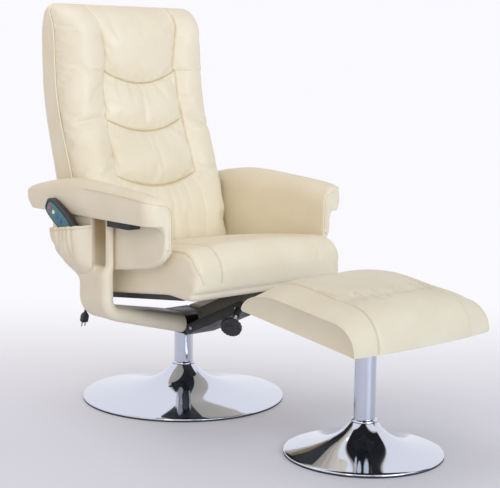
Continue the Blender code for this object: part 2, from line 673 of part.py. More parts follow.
def arm(word, side):
    """Arm: inner panel, crowned pad with an outer flap, and the steel bracket under it."""
    inner = ARM_INNER
    outer = ARM_INNER + PANEL_THICK
    top = PAD_BOTTOM - CLEAR
    outline = [(PANEL_FRONT, top), (PANEL_FRONT, PANEL_FRONT_LOW)]
    outline += [(PANEL_REAR, PANEL_REAR_LOW), (PANEL_REAR, top)]
    panel_bm = prism(outline, side * inner, side * outer)
    low_edges = [e for e in panel_bm.edges
                 if all(v.co.z < top - MERGE for v in e.verts)
                 and abs(e.verts[0].co.x - e.verts[1].co.x) > MERGE]
    bmesh.ops.bevel(panel_bm, geom=low_edges, offset=PANEL_CORNER, segments=4, profile=0.5, affect="EDGES")
    rims = [e for e in panel_bm.edges
            if abs(e.verts[0].co.x - e.verts[1].co.x) < MERGE and min(v.co.z for v in e.verts) < top - MERGE]
    bmesh.ops.bevel(panel_bm, geom=rims, offset=PANEL_THICK / 4, segments=2, profile=0.5, affect="EDGES")
    panel = add(word + "_arm_panel", panel_bm, LEATHER, SWIVEL)
    carve(panel, rod(ARM_BOLT_RADIUS + CLEAR, (side * (inner - PANEL_THICK), ARM_BOLT_Y, ARM_BOLT_Z),
                     (side * (outer + PANEL_THICK), ARM_BOLT_Y, ARM_BOLT_Z)))
    carve(panel, rod(PIVOT_RADIUS + CLEAR, (side * (inner - PANEL_THICK), PIVOT_Y, PIVOT_Z),
                     (side * (outer + PANEL_THICK), PIVOT_Y, PIVOT_Z)))

    flap_in = FLAP_OUTER - FLAP_THICK
    width = FLAP_OUTER - inner
    rings = []
    stations = [PAD_FRONT + (PAD_REAR - PAD_FRONT) * (1 + u) / 2 for u in eased(10)]
    for i, y in enumerate(stations):
        drop = PAD_FRONT_DROP * (y / PAD_FRONT) ** 2 if y < 0 else PAD_REAR_DROP * (y / PAD_REAR) ** 2
        crown = PAD_CROWN - drop
        pull = PAD_END_PULL if i in (0, len(stations) - 1) else 0
        rake = PAD_REAR_RAKE if i == len(stations) - 1 else 0
        lining = outer + CLEAR if y < PAD_FRONT + PAD_FRONT_WRAP else flap_in
        arch = [(inner + pull, PAD_BOTTOM), (inner + pull, PAD_BOTTOM + PAD_SIDE * (crown - PAD_BOTTOM))]
        for share, dip in PAD_ARCH:
            arch.append((inner + share * width, crown - pull - dip * (crown - PAD_BOTTOM)))
        arch += [(FLAP_OUTER - pull / 2, PAD_BOTTOM + pull), (FLAP_OUTER - pull / 2, FLAP_BOTTOM + FLAP_LIP)]
        arch.append((FLAP_OUTER - FLAP_THICK / 2, FLAP_BOTTOM))
        arch += [(lining, FLAP_BOTTOM + FLAP_LIP), (lining, PAD_BOTTOM)]
        rings.append([(side * x, y - rake * (crown - z) / (crown - FLAP_BOTTOM), z) for x, z in arch])
    add(word + "_arm_pad", loft(rings), LEATHER, SWIVEL, 45)

    rear = POST_FRONT - CLEAR
    low = ARM_BRACKET_LOW
    back, up = ARM_BRACKET_CUT
    shape = [(rear, top), (rear, low), (ARM_BRACKET_FRONT + back, low), (ARM_BRACKET_FRONT, low + up),
             (ARM_BRACKET_FRONT, top)]
    add(word + "_arm_bracket", prism(shape, side * (outer + CLEAR), side * (POST_OUTER - FLAP_GAP)),
        BLACK_STEEL, SWIVEL)


def arm_bolt(name, side):
    """Bolt that holds an arm panel to its frame."""
    reach = ARM_BOLT_HEAD_HEIGHT + CLEAR + POST_INNER - ARM_INNER + ARM_BOLT_DEPTH
    head = ARM_INNER - CLEAR - ARM_BOLT_HEAD_HEIGHT
    profile = ((0, 0), (ARM_BOLT_HEAD, 0), (ARM_BOLT_HEAD, ARM_BOLT_HEAD_HEIGHT))
    profile += ((ARM_BOLT_RADIUS, ARM_BOLT_HEAD_HEIGHT), (ARM_BOLT_RADIUS, reach), (0, reach))
    place = aim((side * head, ARM_BOLT_Y, ARM_BOLT_Z), (side, 0, 0))
    add(name, turned(profile, PIN_SIDES, place), STEEL, SWIVEL)


def pivot_bolt(name, side):
    """Shouldered bolt through the arm panel, on which one side of the back turns."""
    tip = BACK_HALF + CLEAR
    shoulder = BACK_HALF + PIVOT_PLATE + 2 * CLEAR
    face = ARM_INNER - CLEAR
    outer = ARM_INNER + PANEL_THICK + CLEAR
    head = outer + PIVOT_HEAD_HEIGHT
    profile = ((0, 0), (PIVOT_RADIUS, 0), (PIVOT_RADIUS, shoulder - tip), (PIVOT_SHOULDER, shoulder - tip))
    profile += ((PIVOT_SHOULDER, face - tip), (PIVOT_RADIUS, face - tip), (PIVOT_RADIUS, outer - tip))
    profile += ((PIVOT_HEAD, outer - tip), (PIVOT_HEAD, head - tip), (0, head - tip))
    place = aim((side * tip, PIVOT_Y, PIVOT_Z), (side, 0, 0))
    add(name, turned(profile, TUBE_SIDES, place), STEEL, SWIVEL)


def pivot_plate(name, side):
    """Steel plate on the back's side, bored for the pivot bolt."""
    half = PIVOT_PLATE_HALF
    low = (side * (BACK_HALF + CLEAR), PIVOT_Y - half, PIVOT_Z - 2 * half)
    high = (side * (BACK_HALF + CLEAR + PIVOT_PLATE), PIVOT_Y + half, PIVOT_Z + 2 * half)
    plate = add(name, box(low, high), BLACK_STEEL, RECLINE)
    carve(plate, rod(PIVOT_RADIUS + RUN, (side * (BACK_HALF - PIVOT_PLATE), PIVOT_Y, PIVOT_Z),
                     (side * (BACK_HALF + 3 * PIVOT_PLATE), PIVOT_Y, PIVOT_Z), TUBE_SIDES))


def seam_y(z):
    return between(SEAM_LINE, z)


def rear_y(z):
    return between(REAR_LINE, z)


def back_rows():
    """Heights of the back's grid lines: four to a band between scallop seams, closer at the ends."""
    bands = (BACK_BOTTOM,) + SCALLOP_HEIGHTS + (BACK_TOP,)
    rows = [BACK_BOTTOM + BACK_END_ROW, BACK_TOP - BACK_END_ROW, BACK_TOP]
    for low, high in zip(bands, bands[1:]):
        rows += [low + (high - low) * i / 4 for i in range(4)]
    return sorted(rows)


def back_slab(inset, front, rear, radius=MERGE):
    """Curved slab of the back: an inset from its outline, between two depth rules, round behind."""
    half = Vector((BACK_HALF - inset, radius, (BACK_TOP - BACK_BOTTOM) / 2 - inset))
    middle = (BACK_TOP + BACK_BOTTOM) / 2

    def shape(u, v, z):
        z = max(BACK_BOTTOM + inset, min(BACK_TOP - inset, z))
        point = Vector((u * half.x, v * radius, z - middle))
        if v > 0:
            point = rounded(point, half, (radius, radius, radius))
        z = middle + point.z
        deep = (point.y / radius + 1) / 2
        return Vector((point.x, front(z) + deep * (rear(z) - front(z)), z))

    return block(eased(8), (-1, 0, 0.6, 1), back_rows(), shape)


def backrest():
    """Backrest: rear shell with board, motors and control box inside, and the padded front."""
    shell = add("back_shell", back_slab(0, seam_y, rear_y, radius=SHELL_ROUND), LEATHER, RECLINE, 50)
    carve(shell, back_slab(SHELL_WALL, lambda z: seam_y(z) - SHELL_WALL, lambda z: rear_y(z) - SHELL_WALL,
                           radius=SHELL_ROUND - SHELL_WALL))

    fit = SHELL_WALL + CLEAR
    set_back = BOARD_SET_BACK
    slab = back_slab(fit, lambda z: seam_y(z) + set_back, lambda z: seam_y(z) + set_back + BACK_BOARD)
    add("back_board", slab, BOARD, RECLINE, 50)

    def on_board(z):
        step = 0.01
        lean = math.atan2(seam_y(z + step) - seam_y(z - step), 2 * step)
        place = Vector((0, seam_y(z) + set_back + BACK_BOARD, z))
        forward = Matrix.Rotation(-math.pi / 2, 4, "X")
        return Matrix.Translation(place) @ Matrix.Rotation(-lean, 4, "X") @ forward

    for name, z in BACK_MOTOR_HEIGHTS.items():
        puck = ((0, MOTOR_GAP), (MOTOR_RADIUS, MOTOR_GAP), (MOTOR_RADIUS, MOTOR_DEPTH))
        puck += ((0, MOTOR_DEPTH),)
        add(name, turned(puck, TUBE_SIDES, on_board(z)), BLACK_PLASTIC, RECLINE)
    wide, tall = CONTROL_HALF
    case = box((-wide, -tall, MOTOR_GAP), (wide, tall, CONTROL_DEPTH), on_board(CONTROL_Z), CONTROL_ROUND, 1)
    add("control_box", case, BLACK_PLASTIC, RECLINE)

    bands = (BACK_BOTTOM,) + SCALLOP_HEIGHTS + (BACK_TOP,)
    middle = (BACK_BOTTOM + BACK_TOP) / 2
    half = (BACK_HALF, CUSHION_DEPTH / 2, (BACK_TOP - BACK_BOTTOM) / 2)
    radius = (CUSHION_ROLL, CUSHION_DEPTH / 2 - MERGE, CUSHION_ROLL)

    def swell(x, z):
        across = min(1, abs(x) / BOLSTER_INNER)
        if abs(x) > BOLSTER_INNER + MERGE:
            t = (abs(x) - BOLSTER_INNER) / (BACK_HALF - BOLSTER_INNER)
            return BOLSTER_CROWN * math.sin(math.pi * t)
        for low, high in zip(bands, bands[1:]):
            if low - MERGE <= z <= high + MERGE:
                t = min(1, max(0, (z - low) / (high - low)))
                return PANEL_CROWN * math.sin(math.pi * t) * math.cos(math.pi / 2 * across**2) - CUSHION_SEAM
        return 0

    def shape(u, v, z):
        rear = v < -1 + MERGE
        box_point = Vector((u * BACK_HALF, v * CUSHION_DEPTH / 2, z - middle))
        point = rounded(box_point, half, radius)
        if rear:
            point = Vector((box_point.x * (1 - CUSHION_TUCK / BACK_HALF), box_point.y, box_point.z))
        forward = (point.y + CUSHION_DEPTH / 2) / CUSHION_DEPTH
        dip = SCALLOP_DIP * max(0, 1 - (point.x / BOLSTER_INNER) ** 2) * forward
        inside = min(1, (BACK_TOP - z) / CUSHION_END, (z - BACK_BOTTOM) / CUSHION_END)
        at = middle + point.z - dip * max(0, inside)
        full = min(CUSHION_DEPTH, CUSHION_FOOT + CUSHION_FOOT_SLOPE * (at - BACK_BOTTOM))
        depth = forward * (full + swell(u * BACK_HALF, z) * max(0, inside))
        return Vector((point.x, seam_y(at) - CLEAR - depth, at))

    add("back_cushion", block(eased(12), (-1, -0.2, 0.5, 1), back_rows(), shape), LEATHER, RECLINE, 60)
    hinge_lugs()


def hinge_lugs():
    """Lugs of the pivot between the back's foot and the seat's rear edge."""
    reach = HINGE_PIN + HINGE_SLACK
    rim = reach + LUG_RIM
    half = LUG_THICK / 2
    outline = [(HINGE_Y + rim, BACK_BOTTOM - CLEAR), (HINGE_Y - rim, BACK_BOTTOM - CLEAR)]
    for i in range(9):
        angle = math.pi + math.pi * i / 8
        outline.append((HINGE_Y + rim * math.cos(angle), HINGE_Z + rim * math.sin(angle)))
    lug = add("back_hinge_lug", prism(outline, -half, half), BLACK_STEEL, RECLINE)
    carve(lug, rod(reach, (-LUG_THICK, HINGE_Y, HINGE_Z), (LUG_THICK, HINGE_Y, HINGE_Z), TUBE_SIDES))

    def under(y):
        drop = (SEAT_BOARD + 2 * CLEAR) / math.cos(SEAT_TILT)
        return SEAT_ORIGIN_Z - (y - SEAT_ORIGIN_Y) * math.tan(SEAT_TILT) - drop

    near = LUG_THICK
    far = near + LUG_THICK
    front = SEAT_REAR - SEAT_LUG_REACH
    end = SEAT_REAR - SEAT_BOARD_INSET
    outline = [(end, under(end)), (front, under(front)), (front, under(front) - SEAT_LUG_RADIUS)]
    for i in range(9):
        angle = math.radians(-110) + math.radians(230) * i / 8
        round_y = HINGE_Y + SEAT_LUG_RADIUS * math.cos(angle)
        outline.append((round_y, HINGE_Z + SEAT_LUG_RADIUS * math.sin(angle)))
    lug = add("seat_hinge_lug", prism(outline, near, far), BLACK_STEEL, SLIDE)
    carve(lug, rod(HINGE_PIN, (-near, HINGE_Y, HINGE_Z), (far - CLEAR, HINGE_Y, HINGE_Z)), "UNION")


def seat():
    """Seat: padded cushion on its board, with a massage motor in the foam."""
    front = SEAT_FRONT - SEAT_ORIGIN_Y
    rear = SEAT_REAR - SEAT_ORIGIN_Y
    half = Vector((SEAT_HALF, (rear - front) / 2, SEAT_THICK / 2))
    middle = Vector((0, (rear + front) / 2, half.z))
    lines = eased(10)

    def shape(u, v, w):
        point = rounded((u * half.x, v * half.y, w * half.z), half, SEAT_ROUND)
        if w < 0:
            point.z = (point.z - half.z) / 2
        top = max(0, point.z / half.z)
        point.x *= 1 - SEAT_PULL / SEAT_HALF * (1 - v * v) * (1 - w * w)
        point.z += SEAT_CROWN * top * (1 - u**4) * (1 - SEAT_CROWN_FADE * v * v)
        bulge = max(0, -v - 0.5) * 2
        seam = 1 if abs(abs(u) - lines[7]) < MERGE else 0
        point -= Vector((0, -1, 1)) * SEAT_SEAM_DEPTH * seam * bulge * (w > -1 + MERGE)
        return SEAT_FRAME @ (point + middle)

    cushion = add("seat_cushion", block(lines, eased(12), PAD_LEVELS, shape), LEATHER, SLIDE, 60)
    inset = SEAT_BOARD_INSET
    low = (-SEAT_BOARD_HALF, front + SEAT_BOARD_FRONT, -CLEAR - SEAT_BOARD)
    add("seat_board", box(low, (SEAT_BOARD_HALF, rear - inset, -CLEAR), SEAT_FRAME), BLACK_PLASTIC, SLIDE)

    place = SEAT_FRAME @ Matrix.Translation((0, SEAT_MOTOR_Y, 0))
    puck = ((0, 0), (MOTOR_RADIUS, 0), (MOTOR_RADIUS, MOTOR_DEPTH), (0, MOTOR_DEPTH))
    add("seat_motor", turned(puck, TUBE_SIDES, place), BLACK_PLASTIC, SLIDE)
    high = MOTOR_DEPTH + CLEAR
    room = ((0, -high), (MOTOR_RADIUS + CLEAR, -high), (MOTOR_RADIUS + CLEAR, high), (0, high))
    carve(cushion, turned(room, TUBE_SIDES, place))


def pocket():
    """Gathered pocket on the right frame, open at the top, hung from its stitched edges."""
    face = POST_OUTER + CLEAR
    half_y = (POCKET_REAR - POCKET_FRONT) / 2
    mid_y = (POCKET_REAR + POCKET_FRONT) / 2

    def shape(u, v, w):
        y = mid_y + half_y * v
        top = POCKET_TOP_FRONT + (POCKET_TOP_REAR - POCKET_TOP_FRONT) * (v + 1) / 2
        up = (w + 1) / 2
        z = POCKET_BOTTOM + (top - POCKET_BOTTOM) * up + POCKET_CORNER_LIFT * v * v * (1 - up)
        fullness = (1 - v**6) * (1 - (1 - up) ** 5) * (1 - POCKET_MOUTH_PULL * up**4)
        gather = POCKET_GATHER * math.cos(6 * math.pi * v) * up
        out = POCKET_BULGE * max(0, fullness) + gather * (1 - v**6) + POCKET_WALL * (u + 1) / 2
        return Vector((-face - out, y, z))

    heights = [2 * i / 6 - 1 for i in range(7)]
    add("side_pocket", block((-1, 1), eased(14), heights, shape), LEATHER, SWIVEL, 60)


def handset():
    """Handset in the pocket, leaning on the arm's flap, with its face panel and push buttons."""
    along = Vector((0, math.cos(HANDSET_LEAN), math.sin(HANDSET_LEAN)))
    out = FLAP_OUTER + CLEAR + HANDSET_THICK / 2
    centre = Vector((-out, HANDSET_TOP_Y, HANDSET_TOP_Z)) - along * HANDSET_LENGTH / 2
    turn = Matrix((Vector((-1, 0, 0)), along, Vector((-1, 0, 0)).cross(along))).transposed().to_4x4()
    frame = Matrix.Translation(centre) @ turn
    axis = axis_empty("handset_axis", centre, SWIVEL)
    half = Vector((HANDSET_THICK / 2, HANDSET_LENGTH / 2, HANDSET_WIDTH / 2))
    case = add("handset_case", box(-half, half, frame, HANDSET_ROUND, 3), BLACK_PLASTIC, axis)
    face_low = half.x - FACE_THICK

    def plate(extra, top):
        low = (face_low - extra, FACE_SHIFT - FACE_LENGTH / 2 - extra, -FACE_WIDTH / 2 - extra)
        high = (top, FACE_SHIFT + FACE_LENGTH / 2 + extra, FACE_WIDTH / 2 + extra)
        return box(low, high, frame)

    carve(case, plate(CLEAR, 2 * half.x))
    face = add("handset_face", plate(0, half.x), TEAL, axis)
    well_floor = half.x - FACE_THICK - BUTTON_DEPTH
    for i, name in enumerate(BUTTON_NAMES):
        place = frame @ Vector((0, BUTTON_FIRST - i * BUTTON_PITCH, 0))
        outward = Vector((-1, 0, 0))
        key_axis = axis_empty(name + "_axis", place, axis)
        low = place + outward * (well_floor + BUTTON_TRAVEL + CLEAR)
        high = place + outward * (half.x + BUTTON_PROUD)
        add(name, rod(BUTTON_RADIUS, low, high), (RED, YELLOW, BLUE, BLUE)[i], key_axis)
        hole_low = place + outward * well_floor
        hole_high = place + outward * 2 * half.x
        for piece in (case, face):
            carve(piece, rod(BUTTON_RADIUS + CLEAR, hole_low, hole_high))


def power_lead():
    """Short power pigtail: a gland in the frame's inner face, the hanging lead, and its plug."""
    wall = -POST_INNER + CLEAR
    points = ((0, 0), (GLAND_RADIUS, 0), (GLAND_TIP, GLAND_LENGTH), (0, GLAND_LENGTH))
    add("lead_gland", turned(points, PIN_SIDES, aim((wall, GLAND_Y, GLAND_Z), (1, 0, 0))), RUBBER, SWIVEL)
    start = Vector((wall + GLAND_LENGTH + CLEAR, GLAND_Y, GLAND_Z))
    route = [start]
    for i in range(7):
        angle = math.pi / 2 * i / 6
        drop = LEAD_BEND * (math.cos(angle) - 1)
        route.append(start + Vector((RUN + LEAD_BEND * math.sin(angle), 0, drop)))
    bend_end = route[-1]
    for i in range(1, 5):
        share = i / 4
        route.append(bend_end + Vector((0, LEAD_DRIFT * share**2, -LEAD_DROP * share)))
    curve = bpy.data.curves.new("power_lead", "CURVE")
    curve.dimensions = "3D"
    curve.bevel_depth = LEAD_RADIUS
    curve.bevel_resolution = 2
    curve.use_fill_caps = True
    spline = curve.splines.new("POLY")
    spline.points.add(len(route) - 1)
    for point, place in zip(spline.points, route):
        point.co = (*place, 1)
    curve.materials.append(RUBBER)
    lead = bpy.data.objects.new("power_lead", curve)
    lead.parent = SWIVEL
    lead.matrix_parent_inverse = Matrix.Translation(-Vector(SWIVEL["world"]))
    bpy.context.collection.objects.link(lead)

    down = (route[-1] - route[-2]).normalized()
    top = route[-1] + down * CLEAR
    frame = aim(top, down)
    rings = []
    for along, share in PLUG_OUTLINE:
        wide = PLUG_WIDTH / 2 * share
        thick = PLUG_THICK / 2 * share
        ring = [(wide * a, thick * b, along * PLUG_LENGTH) for a, b in PLUG_SECTION]
        rings.append([frame @ Vector(p) for p in ring])
    plug = add("power_plug", loft(rings), BLACK_PLASTIC, SWIVEL)
    for x in (-PIN_SPREAD, PIN_SPREAD):
        low = frame @ Vector((x, 0, PLUG_LENGTH - PIN_LENGTH / 2))
        carve(plug, rod(PIN_RADIUS, low, low + down * 1.5 * PIN_LENGTH), "UNION")


def footstool_top():
    """Footstool's turning top: spindle, plate with its hub, board and the padded cushion."""
    floor = STOOL_COLUMN_TOP + BUSH_FLANGE + 2 * CLEAR
    socket = STOOL_HUB_HEIGHT / 2
    spindle("stool_spindle", STOOL, STOOL_COLUMN_TOP, floor + socket, STOOL_SWIVEL)

    angles = [math.tau * i / TUBE_SIDES for i in range(TUBE_SIDES)]
    circle = [(STOOL_HUB * math.cos(angle), STOOL_HUB * math.sin(angle)) for angle in angles]
    rise = math.tan(STOOL_TILT)
    bottom = [STOOL + Vector((x, y, floor)) for x, y in circle]
    slant = [STOOL + Vector((x, y, STOOL_HUB_FACE + STOOL_PLATE / 2 + y * rise)) for x, y in circle]
    hub = loft((bottom, slant))

    plate_top = -CLEAR
    half = STOOL_PLATE_HALF
    flat = box((-half, -half, plate_top - STOOL_PLATE), (half, half, plate_top), STOOL_FRAME)
    plate = add("stool_top_plate", flat, BLACK_STEEL, STOOL_SWIVEL)
    carve(plate, hub, "UNION")
    carve(plate, spindle_bore(STOOL, floor, socket))
    wide = STOOL_HALF_X - STOOL_BOARD_INSET
    deep = STOOL_HALF_Y - STOOL_BOARD_INSET
    add("stool_board", box((-wide, -deep, 0), (wide, deep, STOOL_BOARD), STOOL_FRAME), BOARD, STOOL_SWIVEL)

    half = Vector((STOOL_HALF_X, STOOL_HALF_Y, STOOL_THICK / 2))
    lines = eased(12)

    def shape(u, v, w):
        point = rounded((u * half.x, v * half.y, w * half.z), half, STOOL_ROUND)
        if w < 0:
            point.z = (point.z - half.z) / 2
        top = max(0, point.z / half.z)
        point.x *= 1 - STOOL_PULL / STOOL_HALF_X * (1 - v * v) * (1 - w * w)
        point.y *= 1 - STOOL_PULL / STOOL_HALF_Y * (1 - u * u) * (1 - w * w)
        point.z += STOOL_CROWN * top * (1 - abs(u) ** STOOL_CROWN_ROUND) * (1 - v**4)
        seam = 1 if abs(abs(u) - lines[8]) < MERGE and v < 0.4 else 0
        cross = 1 if abs(v - lines[8]) < MERGE and abs(u) < lines[8] + MERGE else 0
        point.z -= STOOL_SEAM_DEPTH * top * max(seam, cross)
        return STOOL_FRAME @ (point + Vector((0, 0, half.z)))

    cushion = add("stool_cushion", block(lines, lines, PAD_LEVELS, shape), LEATHER, STOOL_SWIVEL, 60)
    low = (-wide - CLEAR, -deep - CLEAR, -STOOL_THICK)
    carve(cushion, box(low, (wide + CLEAR, deep + CLEAR, STOOL_BOARD + CLEAR), STOOL_FRAME))


pedestal("chair_", CHAIR, CHAIR_BASE_RADIUS, CHAIR_NECK, CHAIR_COLUMN_TOP)
pedestal("stool_", STOOL, STOOL_BASE_RADIUS, STOOL_NECK, STOOL_COLUMN_TOP)
recline_knob(recline_slide())
for WORD, SIDE in (("right", -1), ("left", 1)):
    side_frame(WORD + "_frame", SIDE)
    arm(WORD, SIDE)
    arm_bolt(WORD + "_arm_bolt", SIDE)
    pivot_bolt(WORD + "_pivot_bolt", SIDE)
    pivot_plate(WORD + "_pivot_plate", SIDE)
backrest()
seat()
pocket()
handset()
power_lead()
footstool_top()
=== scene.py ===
"""Looks of the massage recliner and its footstool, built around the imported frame."""

import math

import bpy
from mathutils import Matrix, Vector
from mathutils.kdtree import KDTree


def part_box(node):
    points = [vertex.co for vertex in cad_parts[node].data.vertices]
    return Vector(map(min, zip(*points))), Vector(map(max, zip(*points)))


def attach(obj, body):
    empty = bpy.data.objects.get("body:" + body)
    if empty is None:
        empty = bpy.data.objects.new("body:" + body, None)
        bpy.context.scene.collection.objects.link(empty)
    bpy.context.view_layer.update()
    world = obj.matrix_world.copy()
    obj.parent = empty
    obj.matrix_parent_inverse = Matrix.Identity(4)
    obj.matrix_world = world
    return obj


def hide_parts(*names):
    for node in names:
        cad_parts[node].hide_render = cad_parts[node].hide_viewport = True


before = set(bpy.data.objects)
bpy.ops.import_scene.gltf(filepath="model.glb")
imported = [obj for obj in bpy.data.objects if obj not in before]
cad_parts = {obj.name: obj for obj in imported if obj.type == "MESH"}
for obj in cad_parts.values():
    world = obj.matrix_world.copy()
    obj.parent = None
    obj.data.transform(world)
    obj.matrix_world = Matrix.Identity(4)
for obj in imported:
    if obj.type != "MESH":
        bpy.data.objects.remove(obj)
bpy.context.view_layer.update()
scene = bpy.context.scene
scene.view_settings.view_transform = "Standard"

# Camera: a long lens at chest height, in front of the chair and to the sitter's right,
# turned a little off level as in the photograph.
bpy.ops.object.select_all(action="DESELECT")
bpy.ops.object.camera_add(location=(-2.120, -2.649, 0.899))
camera = bpy.context.object
turn = Matrix.Rotation(math.radians(-41.6), 4, "Z") @ Matrix.Rotation(math.radians(90 - 8.18), 4, "X")
camera.rotation_euler = (turn @ Matrix.Rotation(math.radians(0.785), 4, "Z")).to_euler()
camera.data.lens = 93.33
camera.data.sensor_width = 36
scene.camera = camera


# Power lead: a thin black flex out of a rubber gland in the right frame's inner face.
# It turns down under its own weight and hangs free with a small plug on its end.
def surface(name, colour, roughness, metallic=0.0):
    """Principled material of one finish, with its node tree and shader to build on."""
    mat = bpy.data.materials.new(name)
    mat.use_nodes = True
    tree = mat.node_tree
    shader = tree.nodes["Principled BSDF"]
    shader.inputs["Base Color"].default_value = (*colour, 1)
    shader.inputs["Roughness"].default_value = roughness
    shader.inputs["Metallic"].default_value = metallic
    return mat, tree, shader


def wired(tree, kind, *feeds):
    """Node of a kind, its first inputs fed in order from the outputs of others."""
    node = tree.nodes.new("ShaderNode" + kind)
    for socket, feed in zip(node.inputs, feeds):
        tree.links.new(feed, socket)
    return node


def noise(tree, scale, detail=3.0, rough=0.5):
    """Noise on the piece's own coordinates, in pattern repeats per metre."""
    node = wired(tree, "TexNoise", wired(tree, "TexCoord").outputs["Object"])
    for socket, value in (("Scale", scale), ("Detail", detail), ("Roughness", rough)):
        node.inputs[socket].default_value = value
    return node.outputs["Fac"]


def ramp(tree, value, low, high, dark, light):
    """Colour that runs from dark to light as a value goes from low to high."""
    node = wired(tree, "ValToRGB", value)
    for stop, position, colour in zip(node.color_ramp.elements, (low, high), (dark, light)):
        stop.position = position
        stop.color = (*colour, 1)
    return node.outputs["Color"]


def bumped(tree, shader, height, strength, distance, under=None):
    """Bump on the shader from a height, over another bump where one is given."""
    node = tree.nodes.new("ShaderNodeBump")
    node.inputs["Strength"].default_value = strength
    node.inputs["Distance"].default_value = distance
    tree.links.new(height, node.inputs["Height"])
    if under:
        tree.links.new(under, node.inputs["Normal"])
    tree.links.new(node.outputs["Normal"], shader.inputs["Normal"])
    return node.outputs["Normal"]


def moulded(name, colour, roughness, grain=900):
    """Moulded plastic or rubber: fine spark-eroded grain and slightly uneven gloss."""
    mat, tree, shader = surface(name, colour, roughness)
    tint = tuple(min(1, c * 1.35 + 0.004) for c in colour)
    tree.links.new(ramp(tree, noise(tree, 40), 0.3, 0.7, colour, tint), shader.inputs["Base Color"])
    bumped(tree, shader, noise(tree, grain, 2), 0.25, 0.0004)
    return mat


black_rubber = moulded("black_rubber", (0.016, 0.016, 0.017), 0.62)
black_plastic = moulded("black_plastic", (0.018, 0.018, 0.020), 0.42)


def picked(obj):
    """Make one piece the only one selected, and the active one."""
    bpy.ops.object.select_all(action="DESELECT")
    obj.select_set(True)
    bpy.context.view_layer.objects.active = obj


def edit(obj):
    """Open one piece for modelling, with all of it selected."""
    picked(obj)
    bpy.ops.object.mode_set(mode="EDIT")
    bpy.ops.mesh.select_all(action="SELECT")


def place(obj, body, mat, slot, *nodes, at=None):
    """Finish a piece: bake its place into its mesh, give it its material and let it ride on its body."""
    if at is not None:
        obj.matrix_world = at
    picked(obj)
    bpy.ops.object.transform_apply(location=True, rotation=True, scale=True)
    obj.data.materials.clear()
    obj.data.materials.append(mat)
    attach(obj, body)
    if nodes:
        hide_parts(*nodes)
    return obj


def cord_curve(name, path, radius, kind, roundness):
    """Round cord along a line of points, still a curve."""
    bpy.ops.object.select_all(action="DESELECT")
    bpy.ops.curve.primitive_nurbs_path_add()
    obj = bpy.context.object
    obj.name = obj.data.name = name
    obj.data.splines.clear()
    spline = obj.data.splines.new(kind)
    spline.points.add(len(path) - 1)
    for point, spot in zip(spline.points, path):
        point.co = (*spot, 1)
    obj.data.bevel_depth = radius
    obj.data.bevel_resolution = roundness
    obj.data.use_fill_caps = True
    obj.location = (0, 0, 0)
    return obj


gland_low, gland_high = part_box("lead_gland")
lead_radius = 0.0018
lead_bend = 0.015
lead_straight = 0.0008
lead_drop = 0.078
lead_drift = 0.012
gland_middle = (gland_low + gland_high) / 2
lead_start = Vector((gland_high.x + 0.0003, gland_middle.y, gland_middle.z))
route = [lead_start]
for i in range(13):
    angle = math.pi / 2 * i / 12
    step = Vector((lead_straight + lead_bend * math.sin(angle), 0, lead_bend * (math.cos(angle) - 1)))
    route.append(lead_start + step)
bend_end = route[-1]
for i in range(1, 13):
    share = i / 12
    route.append(bend_end + Vector((0, lead_drift * share**2, -lead_drop * share)))
lead = cord_curve("power_lead_flex", route, lead_radius, "POLY", 4)
lead.data.materials.append(black_rubber)
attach(lead, "swivel_frame")
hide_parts("power_lead")


def spun(name, profile, steps=96, smooth=None):
    """Closed outline of (radius, height) points, spun round the Z axis as on a lathe."""
    bpy.ops.object.select_all(action="DESELECT")
    bpy.ops.mesh.primitive_circle_add(vertices=len(profile))
    obj = bpy.context.object
    obj.name = obj.data.name = name
    for v, (r, h) in zip(obj.data.vertices, profile):
        v.co = (r, 0, h)
    edit(obj)
    bpy.ops.mesh.spin(steps=steps, angle=math.tau, center=(0, 0, 0), axis=(0, 0, 1))
    bpy.ops.mesh.select_all(action="SELECT")
    bpy.ops.mesh.remove_doubles(threshold=0.00002)
    bpy.ops.mesh.normals_make_consistent(inside=False)
    bpy.ops.object.mode_set(mode="OBJECT")
    if smooth:
        bpy.ops.object.shade_smooth_by_angle(angle=math.radians(smooth))
    return obj


def modified(obj, kind, **settings):
    """Give a piece a modifier with its settings and apply it."""
    picked(obj)
    mod = obj.modifiers.new(kind, kind)
    for key, value in settings.items():
        setattr(mod, key, value)
    bpy.ops.object.modifier_apply(modifier=mod.name)


def softened(obj, width, segments=3, angle=30):
    """Round the sharp edges of a piece and shade it smooth."""
    limit = math.radians(angle)
    modified(obj, "BEVEL", width=width, segments=segments, limit_method="ANGLE", angle_limit=limit,
             harden_normals=False)
    bpy.ops.object.shade_smooth_by_angle(angle=limit)
    return obj


def box_piece(name, low, high):
    """Box between two corners, as a start for a pressed, welded or moulded piece."""
    low, high = Vector(low), Vector(high)
    bpy.ops.object.select_all(action="DESELECT")
    bpy.ops.mesh.primitive_cube_add(size=1, location=(low + high) / 2, scale=high - low)
    obj = bpy.context.object
    obj.name = obj.data.name = name
    bpy.ops.object.transform_apply(location=True, rotation=True, scale=True)
    return obj


gland_length = gland_high.x - gland_low.x
gland = spun("lead_gland_boot", ((0, 0), (0.0060, 0), (0.0060, 0.0016), (0.0048, 0.0022), (0.0048, 0.0036),
                                 (0.0042, 0.0040), (0.0042, 0.0052), (0.0037, 0.0056), (0.0037, 0.0068),
                                 (0.0031, 0.0074), (0.0028, gland_length), (0, gland_length)), 32)
softened(gland, 0.0003, 2)
gland_turned = Matrix.Rotation(math.pi / 2, 4, "Y")
gland_seat = Matrix.Translation((gland_low.x, lead_start.y, lead_start.z)) @ gland_turned
place(gland, "swivel_frame", black_rubber, "black_rubber", "lead_gland", at=gland_seat)

